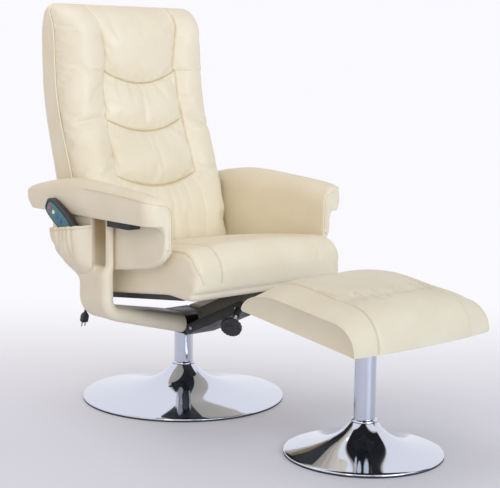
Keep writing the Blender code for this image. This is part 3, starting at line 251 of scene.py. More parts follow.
plug_axis = (route[-1] - route[-2]).normalized()
plug_turned = plug_axis.to_track_quat("Z", "Y").to_matrix().to_4x4()
plug_length = 0.038
plug = box_piece("lead_plug", (-0.009, -0.0065, 0), (0.009, 0.0065, plug_length))
edit(plug)
bpy.ops.mesh.subdivide(number_cuts=6)
bpy.ops.object.mode_set(mode="OBJECT")
for v in plug.data.vertices:
    t = v.co.z / plug_length
    grip = 0.36 + 0.10 * t if t < 0.34 else min(1.0, 0.46 + 4.2 * (t - 0.34))
    grip *= 1 - 0.05 * max(0, t - 0.6)
    v.co.x *= grip
    v.co.y *= grip
softened(plug, 0.0012, 3, 40)
plug_seat = Matrix.Translation(route[-1] + plug_axis * 0.0002) @ plug_turned
place(plug, "swivel_frame", black_plastic, "black_plastic", "power_plug", at=plug_seat)

nickel, tree, shader = surface("nickel_pin", (0.62, 0.60, 0.55), 0.28, 1)
bumped(tree, shader, noise(tree, 700, 2), 0.2, 0.0002)
for number, offset in ((1, -0.005), (2, 0.005)):
    pin = spun("plug_pin_%d" % number, ((0, -0.002), (0.0021, -0.002), (0.0021, 0.0120), (0.0017, 0.0134),
                                        (0.0008, 0.0140), (0, 0.0140)), 24)
    softened(pin, 0.0002, 2)
    spot = route[-1] + plug_axis * plug_length + plug_turned.to_3x3() @ Vector((offset, 0, 0))
    place(pin, "swivel_frame", nickel, "bare_steel", at=Matrix.Translation(spot) @ plug_turned)


# Studio: a pale floor that runs into a white backdrop, warm light from all round, a large cool
# key in front and two weaker lamps. Dark boards stand where only the chrome mirrors them.
backdrop_colour = (0.955, 0.950, 0.995)
bpy.ops.object.select_all(action="DESELECT")
bpy.ops.mesh.primitive_plane_add(size=60)
floor = bpy.context.object
floor.name = "studio_floor"
mat, tree, shader = surface("studio_floor", (0.85, 0.86, 0.965), 0.55)
where = wired(tree, "TexCoord").outputs["Object"]
behind = wired(tree, "VectorMath", where)
behind.operation = "DOT_PRODUCT"
behind.inputs[1].default_value = (0.6643, 0.7475, 0)
far = wired(tree, "VectorMath", where)
far.operation = "LENGTH"
fades = []
for node, near_end, far_end in ((behind, -0.6, 1.45), (far, 0.9, 3.5)):
    fade = wired(tree, "MapRange", node.outputs["Value"])
    fade.interpolation_type = "SMOOTHSTEP"
    fade.inputs["From Min"].default_value = near_end
    fade.inputs["From Max"].default_value = far_end
    fades.append(fade.outputs["Result"])
most = wired(tree, "Math", *fades)
most.operation = "MAXIMUM"
seen = wired(tree, "Emission")
seen.inputs["Color"].default_value = (*backdrop_colour, 1)
mix = wired(tree, "MixShader", most.outputs[0], shader.outputs["BSDF"], seen.outputs["Emission"])
tree.links.new(mix.outputs["Shader"], tree.nodes["Material Output"].inputs["Surface"])
floor.data.materials.append(mat)

world = bpy.data.worlds.new("studio")
scene.world = world
world.use_nodes = True
tree = world.node_tree
light = tree.nodes["Background"]
light.inputs["Color"].default_value = (1.0, 0.925, 0.845, 1)
light.inputs["Strength"].default_value = 0.475
back = wired(tree, "Background")
back.inputs["Color"].default_value = (*backdrop_colour, 1)
back.inputs["Strength"].default_value = 1.0
path = wired(tree, "LightPath")
shown = path.outputs["Is Camera Ray"]
for ray in ("Is Glossy Ray", "Is Transmission Ray"):
    either = wired(tree, "Math", shown, path.outputs[ray])
    either.operation = "MAXIMUM"
    shown = either.outputs[0]
mix = wired(tree, "MixShader", shown, light.outputs["Background"], back.outputs["Background"])
tree.links.new(mix.outputs["Shader"], tree.nodes["World Output"].inputs["Surface"])


def softbox(name, spot, aim, size, power, colour):
    """Large square lamp at a spot, turned towards a point."""
    bpy.ops.object.select_all(action="DESELECT")
    bpy.ops.object.light_add(type="AREA", location=spot)
    lamp = bpy.context.object
    lamp.name = name
    lamp.rotation_euler = (Vector(aim) - Vector(spot)).to_track_quat("-Z", "Y").to_euler()
    lamp.data.size = size
    lamp.data.energy = power
    lamp.data.color = colour


softbox("key", (-0.3, -7.0, 2.4), (0, -0.2, 0.5), 3.6, 197, (0.69, 0.835, 1.0))
softbox("fill", (-2.4, -2.4, 2.5), (0.1, 0, 0.5), 2.0, 27, (1.0, 0.94, 0.89))
softbox("top", (-0.4, 0.5, 3.0), (0, 0, 0.5), 1.5, 10.5, (0.93, 0.93, 1.0))


def board(name, spot, aim, wide, tall):
    """Dark studio board that is seen only in mirror-like surfaces."""
    bpy.ops.object.select_all(action="DESELECT")
    bpy.ops.mesh.primitive_plane_add(size=1, location=spot)
    obj = bpy.context.object
    obj.name = name
    obj.scale = (wide, tall, 1)
    obj.rotation_euler = (Vector(aim) - Vector(spot)).to_track_quat("Z", "Y").to_euler()
    obj.visible_camera = False
    obj.visible_diffuse = False
    obj.visible_shadow = False
    obj.visible_transmission = False
    obj.data.materials.append(dark_board)


dark_board, tree, shader = surface("dark_board", (0.012, 0.012, 0.014), 0.9)
board("right_board", (1.6, -2.3, 0.7), (0, -0.3, 0.1), 0.9, 1.6)
board("camera_board", (-1.7, -2.3, 1.1), (0, -0.3, 0.1), 1.3, 1.5)


# Chair base and footstool base: trumpet discs spun from sheet steel and chromed, each with a black band
# under its rim as painted shadow, a chromed tube up from its neck and a loose collar that covers the joint.
# Each stands on a rubber foot, and a plastic bush in its tube takes the swivel.
def chrome_finish():
    """Bright chrome plate: a cool mirror with faint wear and waviness."""
    mat, tree, shader = surface("chrome", (0.65, 0.685, 0.765), 0.045, 1)
    worn = ramp(tree, noise(tree, 9, 4), 0.35, 0.75, (0.03,) * 3, (0.085,) * 3)
    tree.links.new(worn, shader.inputs["Roughness"])
    bumped(tree, shader, noise(tree, 6, 2), 0.03, 0.002)
    return mat


chrome = chrome_finish()
neck_radius = 0.031
neck_flare = 0.032
cone_slope = 0.170
rim_height = 0.008
disc_wall = 0.0025
tube_wall = 0.0025
tube_lip = 0.0008
bush_bore = 0.0130
bush_flange = 0.003
for word in ("chair", "stool"):
    low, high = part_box(word + "_base_disc")
    middle = (low + high) / 2
    foot = Matrix.Translation((middle.x, middle.y, 0))
    radius = (high.x - low.x) / 2
    spread = radius - neck_radius
    cone = cone_slope * spread
    skin = []
    for i in range(41):
        out = spread * (i / 40) ** 1.8
        rise = (high.z - rim_height - cone) * math.exp(-out / neck_flare)
        skin.append((neck_radius + out, rim_height + cone * (1 - out / spread) + rise))
    bead = ((0.0010, 0.0002), (0.0020, 0.0010), (0.0024, 0.0022), (0.0018, 0.0034), (0.0004, 0.0038))
    edge = [(radius + out, rim_height - down) for out, down in bead] + [(radius + 0.0004, low.z + 0.0006)]
    inside = [(r - 0.0005, h - disc_wall) for r, h in reversed(skin[:-1])]
    profile = [(neck_radius - 0.004, high.z)] + skin + edge + [(radius - disc_wall, low.z)] + inside
    profile.append((neck_radius - 0.004, high.z - disc_wall))
    disc = spun(word + "_trumpet_disc", profile, 128, 40)
    place(disc, "bases", chrome, "chrome", word + "_base_disc", at=foot)

    # Painted shadow: a black band under the rim stands in for the contact shadow and dark reflection along
    # its edge.
    band_in, band_out = radius - 0.001, radius + 0.0016
    band_top = rim_height - 0.0036
    profile = ((band_in, 0.0006), (band_out - 0.0004, 0.0006), (band_out, 0.0010),
               (band_out, band_top - 0.0004), (band_out - 0.0004, band_top), (band_in, band_top))
    place(spun(word + "_rim_shadow_band", profile, 128, 40), "bases", black_rubber, "black_rubber", at=foot)

    low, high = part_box(word + "_column_tube")
    tube_radius = (high.x - low.x) / 2
    bore = tube_radius - tube_wall
    profile = ((bore, low.z), (tube_radius, low.z), (tube_radius, high.z - tube_lip),
               (tube_radius - tube_lip, high.z), (bore + tube_lip, high.z), (bore, high.z - tube_lip))
    place(spun(word + "_column", profile, 96, 25), "bases", chrome, "chrome", word + "_column_tube", at=foot)

    low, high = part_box(word + "_column_collar")
    ring = [(tube_radius + 0.0003, low.z)]
    for i in range(9):
        angle = math.pi / 2 * i / 8
        ring.append((0.0268 + 0.0044 * math.cos(angle), low.z + 0.0012 + 0.0054 * math.sin(angle)))
    ring.append((tube_radius + 0.0003, high.z - 0.0004))
    place(spun(word + "_collar", ring, 96, 50), "bases", chrome, "chrome", word + "_column_collar", at=foot)

    low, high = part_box(word + "_floor_pad")
    pad_radius = (high.x - low.x) / 2
    profile = ((0, 0), (pad_radius - 0.002, 0), (pad_radius, 0.001), (pad_radius, high.z), (0, high.z))
    pad = spun(word + "_rubber_foot", profile, 96, 30)
    place(pad, "bases", black_rubber, "black_rubber", word + "_floor_pad", at=foot)

    low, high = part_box(word + "_column_bush")
    sleeve, brim = bore - 0.0003, tube_radius - 0.0004
    step = high.z - bush_flange
    profile = ((bush_bore, low.z), (sleeve, low.z), (sleeve, step), (brim, step), (brim, high.z - 0.0006),
               (tube_radius - 0.001, high.z), (bush_bore, high.z))
    bush = spun(word + "_swivel_bush", profile, 64, 30)
    place(bush, "bases", black_plastic, "black_plastic", word + "_column_bush", at=foot)


# Hub and spindle: a welded black steel box that turns on the column, with a thin raised lid.
# It carries both side frames and the foot of the sloping slide.
def painted_steel(name, colour, roughness):
    """Black stoved paint on steel: slight orange peel, with rubbed and dusty patches."""
    mat, tree, shader = surface(name, colour, roughness)
    pale = tuple(c * 1.7 + 0.006 for c in colour)
    tree.links.new(ramp(tree, noise(tree, 35, 5, 0.6), 0.42, 0.78, colour, pale), shader.inputs["Base Color"])
    worn = ramp(tree, noise(tree, 22, 4), 0.3, 0.7, (roughness * 0.8,) * 3, (min(1, roughness * 1.35),) * 3)
    tree.links.new(worn, shader.inputs["Roughness"])
    bumped(tree, shader, noise(tree, 420, 2), 0.22, 0.0005)
    return mat


def brushed_steel(name, colour, roughness):
    """Bare zinc-plated steel: cloudy plating with fine handling marks."""
    mat, tree, shader = surface(name, colour, roughness, 1)
    dark = tuple(c * 0.72 for c in colour)
    tree.links.new(ramp(tree, noise(tree, 60, 5, 0.65), 0.3, 0.7, dark, colour), shader.inputs["Base Color"])
    bumped(tree, shader, noise(tree, 800, 2), 0.15, 0.0003)
    return mat


black_steel = painted_steel("black_steel", (0.011, 0.011, 0.012), 0.46)
bare_steel = brushed_steel("bare_steel", (0.56, 0.56, 0.57), 0.32)


def refinished(mat, *names):
    """Give solids of the frame that stay in view the finish of their kind."""
    for node in names:
        for slot in bpy.data.objects[node].material_slots:
            slot.link = "OBJECT"
            slot.material = mat


refinished(bare_steel, "swivel_spindle", "stool_spindle", "chair_base_bolt", "stool_base_bolt")
refinished(black_steel, "chair_base_ballast", "stool_base_ballast", "stool_top_plate", "seat_hinge_lug",
           "back_hinge_lug")


def faces_where(obj, rule):
    """In edit mode, select just the faces whose centre and normal meet a rule."""
    bpy.ops.mesh.select_all(action="DESELECT")
    bpy.ops.object.mode_set(mode="OBJECT")
    for face in obj.data.polygons:
        face.select = rule(face.center, face.normal)
    bpy.ops.object.mode_set(mode="EDIT")
    bpy.ops.mesh.select_mode(type="FACE")


hub_low, hub_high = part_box("hub_box")
hub = box_piece("swivel_hub", hub_low, hub_high)
edit(hub)
faces_where(hub, lambda centre, normal: normal.z > 0.9)
bpy.ops.mesh.inset(thickness=0.006)
bpy.ops.transform.translate(value=(0, 0, -0.0016))
bpy.ops.mesh.inset(thickness=0.0012)
bpy.ops.transform.translate(value=(0, 0, 0.0016))
faces_where(hub, lambda centre, normal: abs(normal.y) > 0.9)
bpy.ops.mesh.inset(thickness=0.008, use_individual=True)
bpy.ops.mesh.inset(thickness=0.001, depth=-0.0012, use_individual=True)
bpy.ops.object.mode_set(mode="OBJECT")
softened(hub, 0.0014, 3)
place(hub, "swivel_frame", black_steel, "black_steel", "hub_box")


# Recline slide: a folded steel channel that slopes up and forward from the hub, and the slider
# that runs in it under the seat. The slider's plated face is dull and faintly olive.
slope = Matrix.Translation((0, -0.070, 0.1826)) @ Matrix.Rotation(math.radians(-24), 4, "X")
channel_half = 0.050
channel_length = 0.2448
channel_height = 0.025
channel = box_piece("slide_channel", (-channel_half, -channel_length, 0),
                    (channel_half, 0.004, channel_height))
edit(channel)
faces_where(channel, lambda centre, normal: normal.z > 0.9 or abs(normal.y) > 0.9)
bpy.ops.mesh.delete(type="FACE")
bpy.ops.object.mode_set(mode="OBJECT")
modified(channel, "SOLIDIFY", thickness=0.003, offset=-1)
softened(channel, 0.0008, 3)
place(channel, "swivel_frame", black_steel, "black_steel", "recline_channel", at=slope)

sides = (("right", -1), ("left", 1))
rivet_profile = ((0, -0.001), (0.0052, -0.001), (0.0052, 0.0006), (0.0046, 0.0018), (0.0030, 0.0027),
                 (0, 0.0030))
for row, along in (("lower", -0.028), ("upper", -0.222)):
    for word, side in sides:
        rivet = spun("channel_%s_rivet_%s" % (row, word), rivet_profile, 24, 40)
        spot = slope @ Vector((side * channel_half, along, channel_height / 2))
        outward = Matrix.Rotation(side * math.pi / 2, 4, "Y")
        place(rivet, "swivel_frame", bare_steel, "bare_steel", at=Matrix.Translation(spot) @ outward)

slider_half = 0.0467
slider_foot = 0.0033
slider_rear = -0.0648
slider_front = slider_rear - 0.196
slider_top = slider_foot + 0.050
slider = box_piece("slide_carriage", (-slider_half, slider_front, slider_foot),
                   (slider_half, slider_rear, slider_top))
edit(slider)
seat_forward = 0.120
seat_turn = Matrix.Translation((0, -seat_forward, 0.3186)) @ Matrix.Rotation(math.radians(-6.5), 4, "X")
cut_point = slope.inverted() @ (seat_turn @ Vector((0, 0, -0.0136)))
cut_normal = (slope.inverted().to_3x3() @ (seat_turn.to_3x3() @ Vector((0, 0, 1)))).normalized()
bpy.ops.mesh.bisect(plane_co=cut_point, plane_no=cut_normal, use_fill=True, clear_outer=True)
faces_where(slider, lambda centre, normal: normal.z > 0.999 or normal.y < -0.9)
bpy.ops.mesh.inset(thickness=0.0045, use_individual=True)
bpy.ops.mesh.inset(thickness=0.0008, depth=-0.0010, use_individual=True)
bpy.ops.object.mode_set(mode="OBJECT")
softened(slider, 0.0010, 3)
slide_steel = brushed_steel("slide_steel", (0.15, 0.145, 0.110), 0.55)
place(slider, "seat", slide_steel, "bare_steel", "slider_rail", at=slope)

refinished(black_steel, "seat_bracket")
refinished(black_plastic, "seat_board", "seat_motor", "lower_back_motor", "upper_back_motor", "control_box")


# Recline knob: a ribbed black grip on a plated clamp screw, in a slanted boss on the channel's
# right wall. Turning it holds or frees the slide.
knob_root = Vector((-0.0503, -0.276, 0.277))
knob_line = Vector((-0.745, -0.426, -0.514)).normalized()
knob_turned = knob_line.to_track_quat("Z", "Y").to_matrix().to_4x4()
knob_reach = 0.046
knob_radius = 0.027
knob_thick = 0.020
knob_ribs = 18
rib_depth = 0.0019
knob = spun("recline_grip", ((0.0054, 0.0), (0.0165, 0.0), (0.0205, 0.0012), (0.0215, 0.0030),
                             (0.0258, 0.0040), (0.0268, 0.0056), (knob_radius, 0.0085),
                             (knob_radius, 0.0140), (0.0264, 0.0165),
                             (0.0245, 0.0182), (0.0215, 0.0190), (0.0150, 0.0186), (0.0140, 0.0180),
                             (0.0085, 0.0180), (0.0078, 0.0192), (0.0050, knob_thick), (0, knob_thick),
                             (0, 0.0160), (0.0054, 0.0152)), 144)
for v in knob.data.vertices:
    reach = math.hypot(v.co.x, v.co.y)
    if reach > 0.0235:
        rib = 0.5 + 0.5 * math.cos(knob_ribs * math.atan2(v.co.y, v.co.x))
        scale = 1 - rib_depth * (1 - rib**0.6) / reach
        v.co.x *= scale
        v.co.y *= scale
bpy.ops.object.shade_smooth_by_angle(angle=math.radians(40))
knob_seat = Matrix.Translation(knob_root + knob_line * knob_reach) @ knob_turned
place(knob, "knob", black_plastic, "black_plastic", "recline_knob", at=knob_seat)

screw_length = knob_reach + 0.014
screw_profile = [(0, 0.001), (0.0042, 0.001)]
for i in range(9):
    turn_up = 0.019 + 0.0022 * i
    screw_profile += [(0.0050, turn_up), (0.0044, turn_up + 0.0011)]
screw_profile += [(0.0050, 0.0405), (0.0062, 0.0408), (0.0062, 0.0450), (0.0050, 0.0453),
                  (0.0050, screw_length), (0, screw_length)]
screw = spun("recline_screw", screw_profile, 40, 25)
root_seat = Matrix.Translation(knob_root) @ knob_turned
place(screw, "knob", bare_steel, "bare_steel", "knob_rod", at=root_seat)

boss = spun("recline_boss", ((0.0056, -0.012), (0.0105, -0.012), (0.0092, -0.002), (0.0090, 0.0165),
                             (0.0082, 0.0180), (0.0056, 0.0180)), 40, 30)
place(boss, "swivel_frame", black_steel, "black_steel", at=root_seat)


# Side frames: bent steel padded and wrapped in cream leather, each a sleeve out from the hub, a
# round bend and a wide upright. The upright's front is a full roll with a sunk strip behind it.
def leather_finish(name, dark, light, fold=(0.36, 0.28, 0.17)):
    """Coated leather: pebbled grain, faint mottling, and painted shade, a deeper tone where points are marked
    as folded, sewn or recessed.
    """
    mat, tree, shader = surface(name, light, 0.42)
    tone = ramp(tree, noise(tree, 11, 4, 0.55), 0.30, 0.72, dark, light)
    painted_crease_shade = wired(tree, "Attribute")
    painted_crease_shade.attribute_name = "painted_crease_shade"
    mix = wired(tree, "Mix")
    mix.data_type = "RGBA"
    # Colour B is painted shade for seams, folds and recesses; fold sets its tint against the dark tone.
    mix.inputs["B"].default_value = (*(d * f for d, f in zip(dark, fold)), 1)
    tree.links.new(painted_crease_shade.outputs["Fac"], mix.inputs["Factor"])
    tree.links.new(tone, mix.inputs["A"])
    tree.links.new(mix.outputs["Result"], shader.inputs["Base Color"])
    gloss = ramp(tree, noise(tree, 30, 3), 0.3, 0.7, (0.37,) * 3, (0.50,) * 3)
    tree.links.new(gloss, shader.inputs["Roughness"])
    pebble = wired(tree, "TexVoronoi", wired(tree, "TexCoord").outputs["Object"])
    pebble.inputs["Scale"].default_value = 640
    grain = bumped(tree, shader, pebble.outputs["Distance"], 0.16, 0.0006)
    bumped(tree, shader, noise(tree, 120, 5, 0.6), 0.10, 0.0016, grain)
    return mat


cream_dark = (0.835, 0.750, 0.575)
cream_light = (0.88, 0.808, 0.645)
leather = leather_finish("cream_leather", cream_dark, cream_light)
# A second copy of the leather whose painted seam shade is warmer and deeper, used on the back pad.
leather_warm_seam_shade = leather_finish("leather_warm_seam_shade", cream_dark, cream_light, (0.60, 0.44, 0.14))


def laid_grid(name, columns, rows, rule):
    """Sheet of quads laid by a rule of (column, row) counts, as leather is laid over its form."""
    bpy.ops.object.select_all(action="DESELECT")
    bpy.ops.mesh.primitive_grid_add(x_subdivisions=columns, y_subdivisions=rows, size=2)
    obj = bpy.context.object
    obj.name = obj.data.name = name
    for v in obj.data.vertices:
        v.co = rule(round((v.co.x + 1) / 2 * columns), round((v.co.y + 1) / 2 * rows))
    return obj


weld_reach = 0.00005


def ends_filled(obj):
    """Join the long edges of a sheet wrapped into a tube and fill its two open ends."""
    edit(obj)
    bpy.ops.mesh.remove_doubles(threshold=weld_reach)
    bpy.ops.mesh.select_all(action="DESELECT")
    bpy.ops.mesh.select_mode(type="EDGE")
    bpy.ops.mesh.select_non_manifold()
    bpy.ops.mesh.fill_holes(sides=0)
    bpy.ops.object.mode_set(mode="OBJECT")


def closed_up(obj, smooth=60):
    """Join a wrapped sheet's meeting edges, turn its faces out and shade it."""
    edit(obj)
    bpy.ops.mesh.remove_doubles(threshold=weld_reach)
    bpy.ops.mesh.normals_make_consistent(inside=False)
    bpy.ops.object.mode_set(mode="OBJECT")
    bpy.ops.object.shade_smooth_by_angle(angle=math.radians(smooth))


def clamped(value):
    """A share, held between 0 and 1."""
    return max(0.0, min(1.0, value))


def smooth_step(low, high, value):
    """Share from 0 to 1 as a value goes from low to high, eased at both ends."""
    t = clamped((value - low) / (high - low))
    return t * t * (3 - 2 * t)


def point_values(obj, name, values):
    """Record one number for each point of a piece."""
    layer = obj.data.attributes.new(name, "FLOAT", "POINT")
    for i, value in enumerate(values):
        layer.data[i].value = value


def painted_shade_marks(obj, depths):
    """Record how much painted shade each point gets where it is sewn, folded or recessed, for the finish to
    read.
    """
    point_values(obj, "painted_crease_shade", depths)


post_inner = 0.2745
post_outer = 0.3085
post_half = (post_outer - post_inner) / 2
post_middle = (post_inner + post_outer) / 2
post_front = -0.074
bend = 0.045
leg_rise = math.radians(12.5)
hub_face = 0.0503
sleeve_height = 0.2135
sleeve_front = -0.075
sleeve_half = 0.026
bend_x = post_middle - bend * (1 - math.sin(leg_rise))
bend_z = sleeve_height + (bend_x - hub_face) * math.tan(leg_rise)
post_top = 0.5352
frame_rows = 70
sleeve_share = 0.38
bend_share = 0.17
post_start = 0.55
post_share = 0.45


def frame_station(share):
    """Centre, lean, half thickness, front and rear of the frame at a share of its length."""
    if share < sleeve_share:
        t = share / sleeve_share
        x = hub_face + (bend_x - hub_face) * t
        z = sleeve_height + (x - hub_face) * math.tan(leg_rise)
        half = sleeve_half + (post_half - sleeve_half) * t
        front = sleeve_front + (post_front - sleeve_front) * t * 0.6
        return x, z, leg_rise * min(1, 2 * t), half, front, 0.050 - 0.005 * t
    if share < post_start:
        t = (share - sleeve_share) / bend_share
        turn = leg_rise + (math.pi / 2 - leg_rise) * t
        x = bend_x - bend * (math.sin(leg_rise) - math.sin(turn))
        z = bend_z + bend * (math.cos(leg_rise) - math.cos(turn))
        front = sleeve_front + (post_front - sleeve_front) * (0.6 + 0.4 * t)
        return x, z, turn, post_half, front, 0.045
    low = bend_z + bend * math.cos(leg_rise)
    z = low + (post_top - low) * (share - post_start) / post_share
    return post_middle, z, math.pi / 2, post_half, post_front, 0.045 + 0.113 * smooth_step(0.338, 0.412, z)


def frame_skin(side):
    """Points of one wrapped frame by grid column and row; columns run round its section."""
    face_lines = (0.004, 0.010, 0.018, 0.026, 0.033, 0.038, 0.046, 0.10, 0.2, 0.35, 0.5, 0.65, 0.8, 0.92)
    angles = [math.pi * i / 12 for i in range(13)]
    section = [("front", math.cos(angle), math.sin(angle)) for angle in angles]
    section += [("outer", step, 0) for step in face_lines]
    section += [("rear", math.cos(angle), math.sin(angle)) for angle in angles]
    section += [("inner", step, 0) for step in reversed(face_lines)]
    section.append(section[0])

    def rule(column, row):
        """Point of the wrap, out from the frame's centre line at that row."""
        share = row / frame_rows
        x, z, lean, half, front, rear = frame_station(share)
        kind, a, b = section[column]
        start, end = front + half, rear - half
        if kind == "front":
            across, along = half * a, start - half * b
        elif kind == "rear":
            across, along = -half * a, end + half * b
        else:
            run = 0.046 + (end - start - 0.046) * (a - 0.05) / 0.95 if a > 0.05 else a
            across, along = (-half if kind == "outer" else half), start + run
        tall = smooth_step(0.366, 0.392, z)
        if kind == "outer":
            strip = 1 - smooth_step(-0.027, -0.020, along)
            across += 0.016 * strip * tall
        elif kind == "front":
            across += 0.014 * tall * (1 - a) / 2
        swell = 0.0012 * math.sin(41 * z + 3 * along) + 0.0008 * math.sin(97 * along + 23 * z)
        if lean < 1.5 and across > 0:
            in_bend = smooth_step(0.34, 0.46, share) * (1 - smooth_step(0.5, 0.6, share))
            swell += 0.0016 * math.sin(300 * (z + 0.5 * x)) * in_bend
        if kind in ("outer", "inner"):
            across += swell * (1 if across > 0 else -1) * 0.6
        return side * (x - across * math.sin(lean)), along, z + across * math.cos(lean)

    return len(section) - 1, rule


for word, side in sides:
    columns, rule = frame_skin(side)
    skin = laid_grid(word + "_wrapped_frame", columns, frame_rows, rule)
    ends_filled(skin)
    closed_up(skin)
    # The sunk strip behind the front roll gets painted shade, darkest towards its top.
    marks = []
    for v in skin.data.vertices:
        deep = post_middle - 0.005 < abs(v.co.x) < post_outer - 0.006
        deep = deep and v.co.z > 0.385 and -0.0575 < v.co.y < -0.019
        marks.append(0.70 + 0.30 * smooth_step(0.40, 0.47, v.co.z) if deep else 0.0)
    painted_shade_marks(skin, marks)
    place(skin, "swivel_frame", leather, "cream_leather", word + "_frame")


# Arms: a foam-faced inner panel and a crowned pad, under one skin of leather that is drawn round
# the nose to a narrow flat arch. Each is bolted on through its panel, and a piping cord follows its
# outer top edge, the arch and the panel's rim.
arm_inner = 0.2495
panel_outer = 0.2715
panel_front = -0.267
panel_rear = 0.208
flap_outer = 0.321
flap_inner = 0.311
flap_foot = 0.5085
pad_bottom = 0.5355
pad_front = -0.270
pad_rear = 0.262
pad_height = 0.0545
nose_run = 0.045
nose_drop = 0.009
arch_start_dip = 0.60
arch_peak = 0.54
arch_end = 0.985
arch_end_dip = 0.29
arch_line = ((0.012, 0.44), (0.05, 0.28), (0.13, 0.155), (0.24, 0.075), (0.38, 0.025), (arch_peak, 0.0),
             (0.70, 0.022), (0.83, 0.09), (0.93, 0.19), (arch_end, arch_end_dip))
side_stop = 15
arch_stop = side_stop + len(arch_line)
arm_edge = arch_stop - 1
flap_stop = arch_stop + 12 + 6 + 5
roof_stop = flap_stop + 7


def quarter_round(share, most=1.0):
    """How far a quarter-round edge has turned in at a share of its run."""
    return 1 - math.sqrt(1 - min(most, clamped(share)) ** 2)


def arm_crown(y):
    """Height of the pad's crown along the arm."""
    drop = 0.018 * (y / pad_front) ** 2 if y < 0 else 0.036 * (y / pad_rear) ** 2
    drop += nose_drop * quarter_round((pad_front + nose_run - y) / nose_run)
    return pad_bottom + pad_height - drop


def panel_low(y):
    """Height of the panel's lower edge, which slants, turns up at the front and rises behind the post."""
    low = 0.403 + (0.336 - 0.403) * (y - panel_front) / (panel_rear - panel_front)
    low += 0.048 * quarter_round((panel_front + 0.085 - y) / 0.085, 0.995)
    low = max(low, min(0.394, 0.366 + 0.56 * (y - 0.02)))
    low += 0.012 * quarter_round((y - panel_rear + 0.012) / 0.012, 0.99)
    return low if y < panel_rear else pad_bottom


def arm_ring(y):
    """Closed section of an arm at one place: panel, arch, flap, lining and back down the panel."""
    crown = arm_crown(y)
    tall = crown - pad_bottom
    wide = flap_outer - arm_inner
    low = panel_low(y)
    round_low = min(0.008, (pad_bottom - low) / 3)
    shut = smooth_step(-0.232, -0.252, y)
    roof = flap_foot + (pad_bottom - flap_foot) * (1 - shut)
    wave = 0.0016 * math.sin(19 * y + 0.7) + 0.0010 * math.sin(47 * y + 2.0)
    pucker = 0.0022 * shut * (1 - smooth_step(-0.252, -0.266, y))
    edge = (arm_inner + arch_end * wide, crown - arch_end_dip * tall)
    side_foot = low + round_low
    shoulder = 0.42 + 0.33 * smooth_step(-0.19, -0.262, y)
    side_head = pad_bottom + (0.40 - shoulder) * tall
    ring = []
    for i in range(side_stop):
        t = i / (side_stop - 1)
        puff = 0.0032 * math.sin(math.pi * t) * smooth_step(pad_front, pad_front + 0.05, y)
        ring.append((arm_inner - puff, side_foot + (side_head - side_foot) * t))
    fuller = 0.007 * smooth_step(-0.14, 0.08, y)
    for s, dip in arch_line:
        most_dip = arch_start_dip if s < arch_peak else arch_end_dip
        level = crown - dip * tall + fuller * (1 - dip / most_dip)
        slump = shoulder * (1 - min(1.0, s / arch_peak)) ** 2.2
        ring.append((arm_inner + s * wide, level - slump * tall))
    for i in range(1, 13):
        t = i / 12
        bulge = (0.0040 + wave) * math.sin(math.pi * t)
        x = edge[0] + (flap_outer - 0.002 - edge[0]) * t + bulge
        ring.append((x, edge[1] + (flap_foot - edge[1]) * t))
    half = (flap_outer - 0.002 - flap_inner) / 2
    for i in range(1, 7):
        angle = math.pi * i / 6
        ring.append((flap_inner + half + half * math.cos(angle), flap_foot - half * math.sin(angle)))
    for i in range(1, 6):
        ring.append((flap_inner, flap_foot + (roof - flap_foot) * i / 5 - pucker * math.sin(math.pi * i / 5)))
    drop = 0.030 * shut
    for i in range(1, 8):
        angle = math.pi / 2 * i / 7
        x = panel_outer + (flap_inner - panel_outer) * (1 - math.sin(angle))
        ring.append((x, roof - drop * (1 - math.cos(angle))))
    start = roof - drop
    for i in range(1, 11):
        t = i / 10
        puff = 0.0018 * math.sin(math.pi * t)
        ring.append((panel_outer + puff, start + (side_foot - start) * t))
    middle = (arm_inner + panel_outer) / 2
    thick = (panel_outer - arm_inner) / 2
    for i in range(1, 7):
        angle = math.pi * i / 7
        ring.append((middle + thick * math.cos(angle), side_foot - round_low * math.sin(angle)))

    def turned_over(reach):
        """How far the skin has turned in here, where it rounds the nose over a reach."""
        return reach * quarter_round((pad_front + reach - y) / reach)

    flap_turn = turned_over(0.036)
    inner_turn = turned_over(0.009)
    panel_edge = panel_outer - turned_over(0.005)
    panel_thin = (panel_edge - arm_inner - inner_turn) / (panel_outer - arm_inner)
    roof_thin = (flap_inner - flap_turn - panel_edge) / (flap_inner - panel_outer)
    wrapped = []
    for i, (x, z) in enumerate(ring):
        share = (x - arm_inner) / wide
        if i < side_stop:
            wrapped.append((x + inner_turn, z))
        elif i < arch_stop:
            top = math.sin(math.pi * min(1.0, share / arch_end))
            into = inner_turn * (1 - smooth_step(0.0, 0.45, share))
            into -= flap_turn * max(0.0, (share - 0.20) / 0.785)
            wrapped.append((x + into, z - inner_turn * top))
        elif i < flap_stop:
            wrapped.append((x - flap_turn, z))
        elif i < roof_stop:
            wrapped.append((panel_edge + (x - panel_outer) * roof_thin, z))
        else:
            wrapped.append((arm_inner + inner_turn + (x - arm_inner) * panel_thin, z))
    return wrapped


def drawn_in(ring, inset):
    """Section moved in all round, where the skin turns over the end of the arm."""
    moved = []
    for i, (x, z) in enumerate(ring):
        a, b = ring[i - 1], ring[(i + 1) % len(ring)]
        along = Vector((b[0] - a[0], b[1] - a[1]))
        if along.length < 1e-7:
            moved.append((x, z))
            continue
        along.normalize()
        moved.append((x + along.y * inset, z - along.x * inset))
    return moved


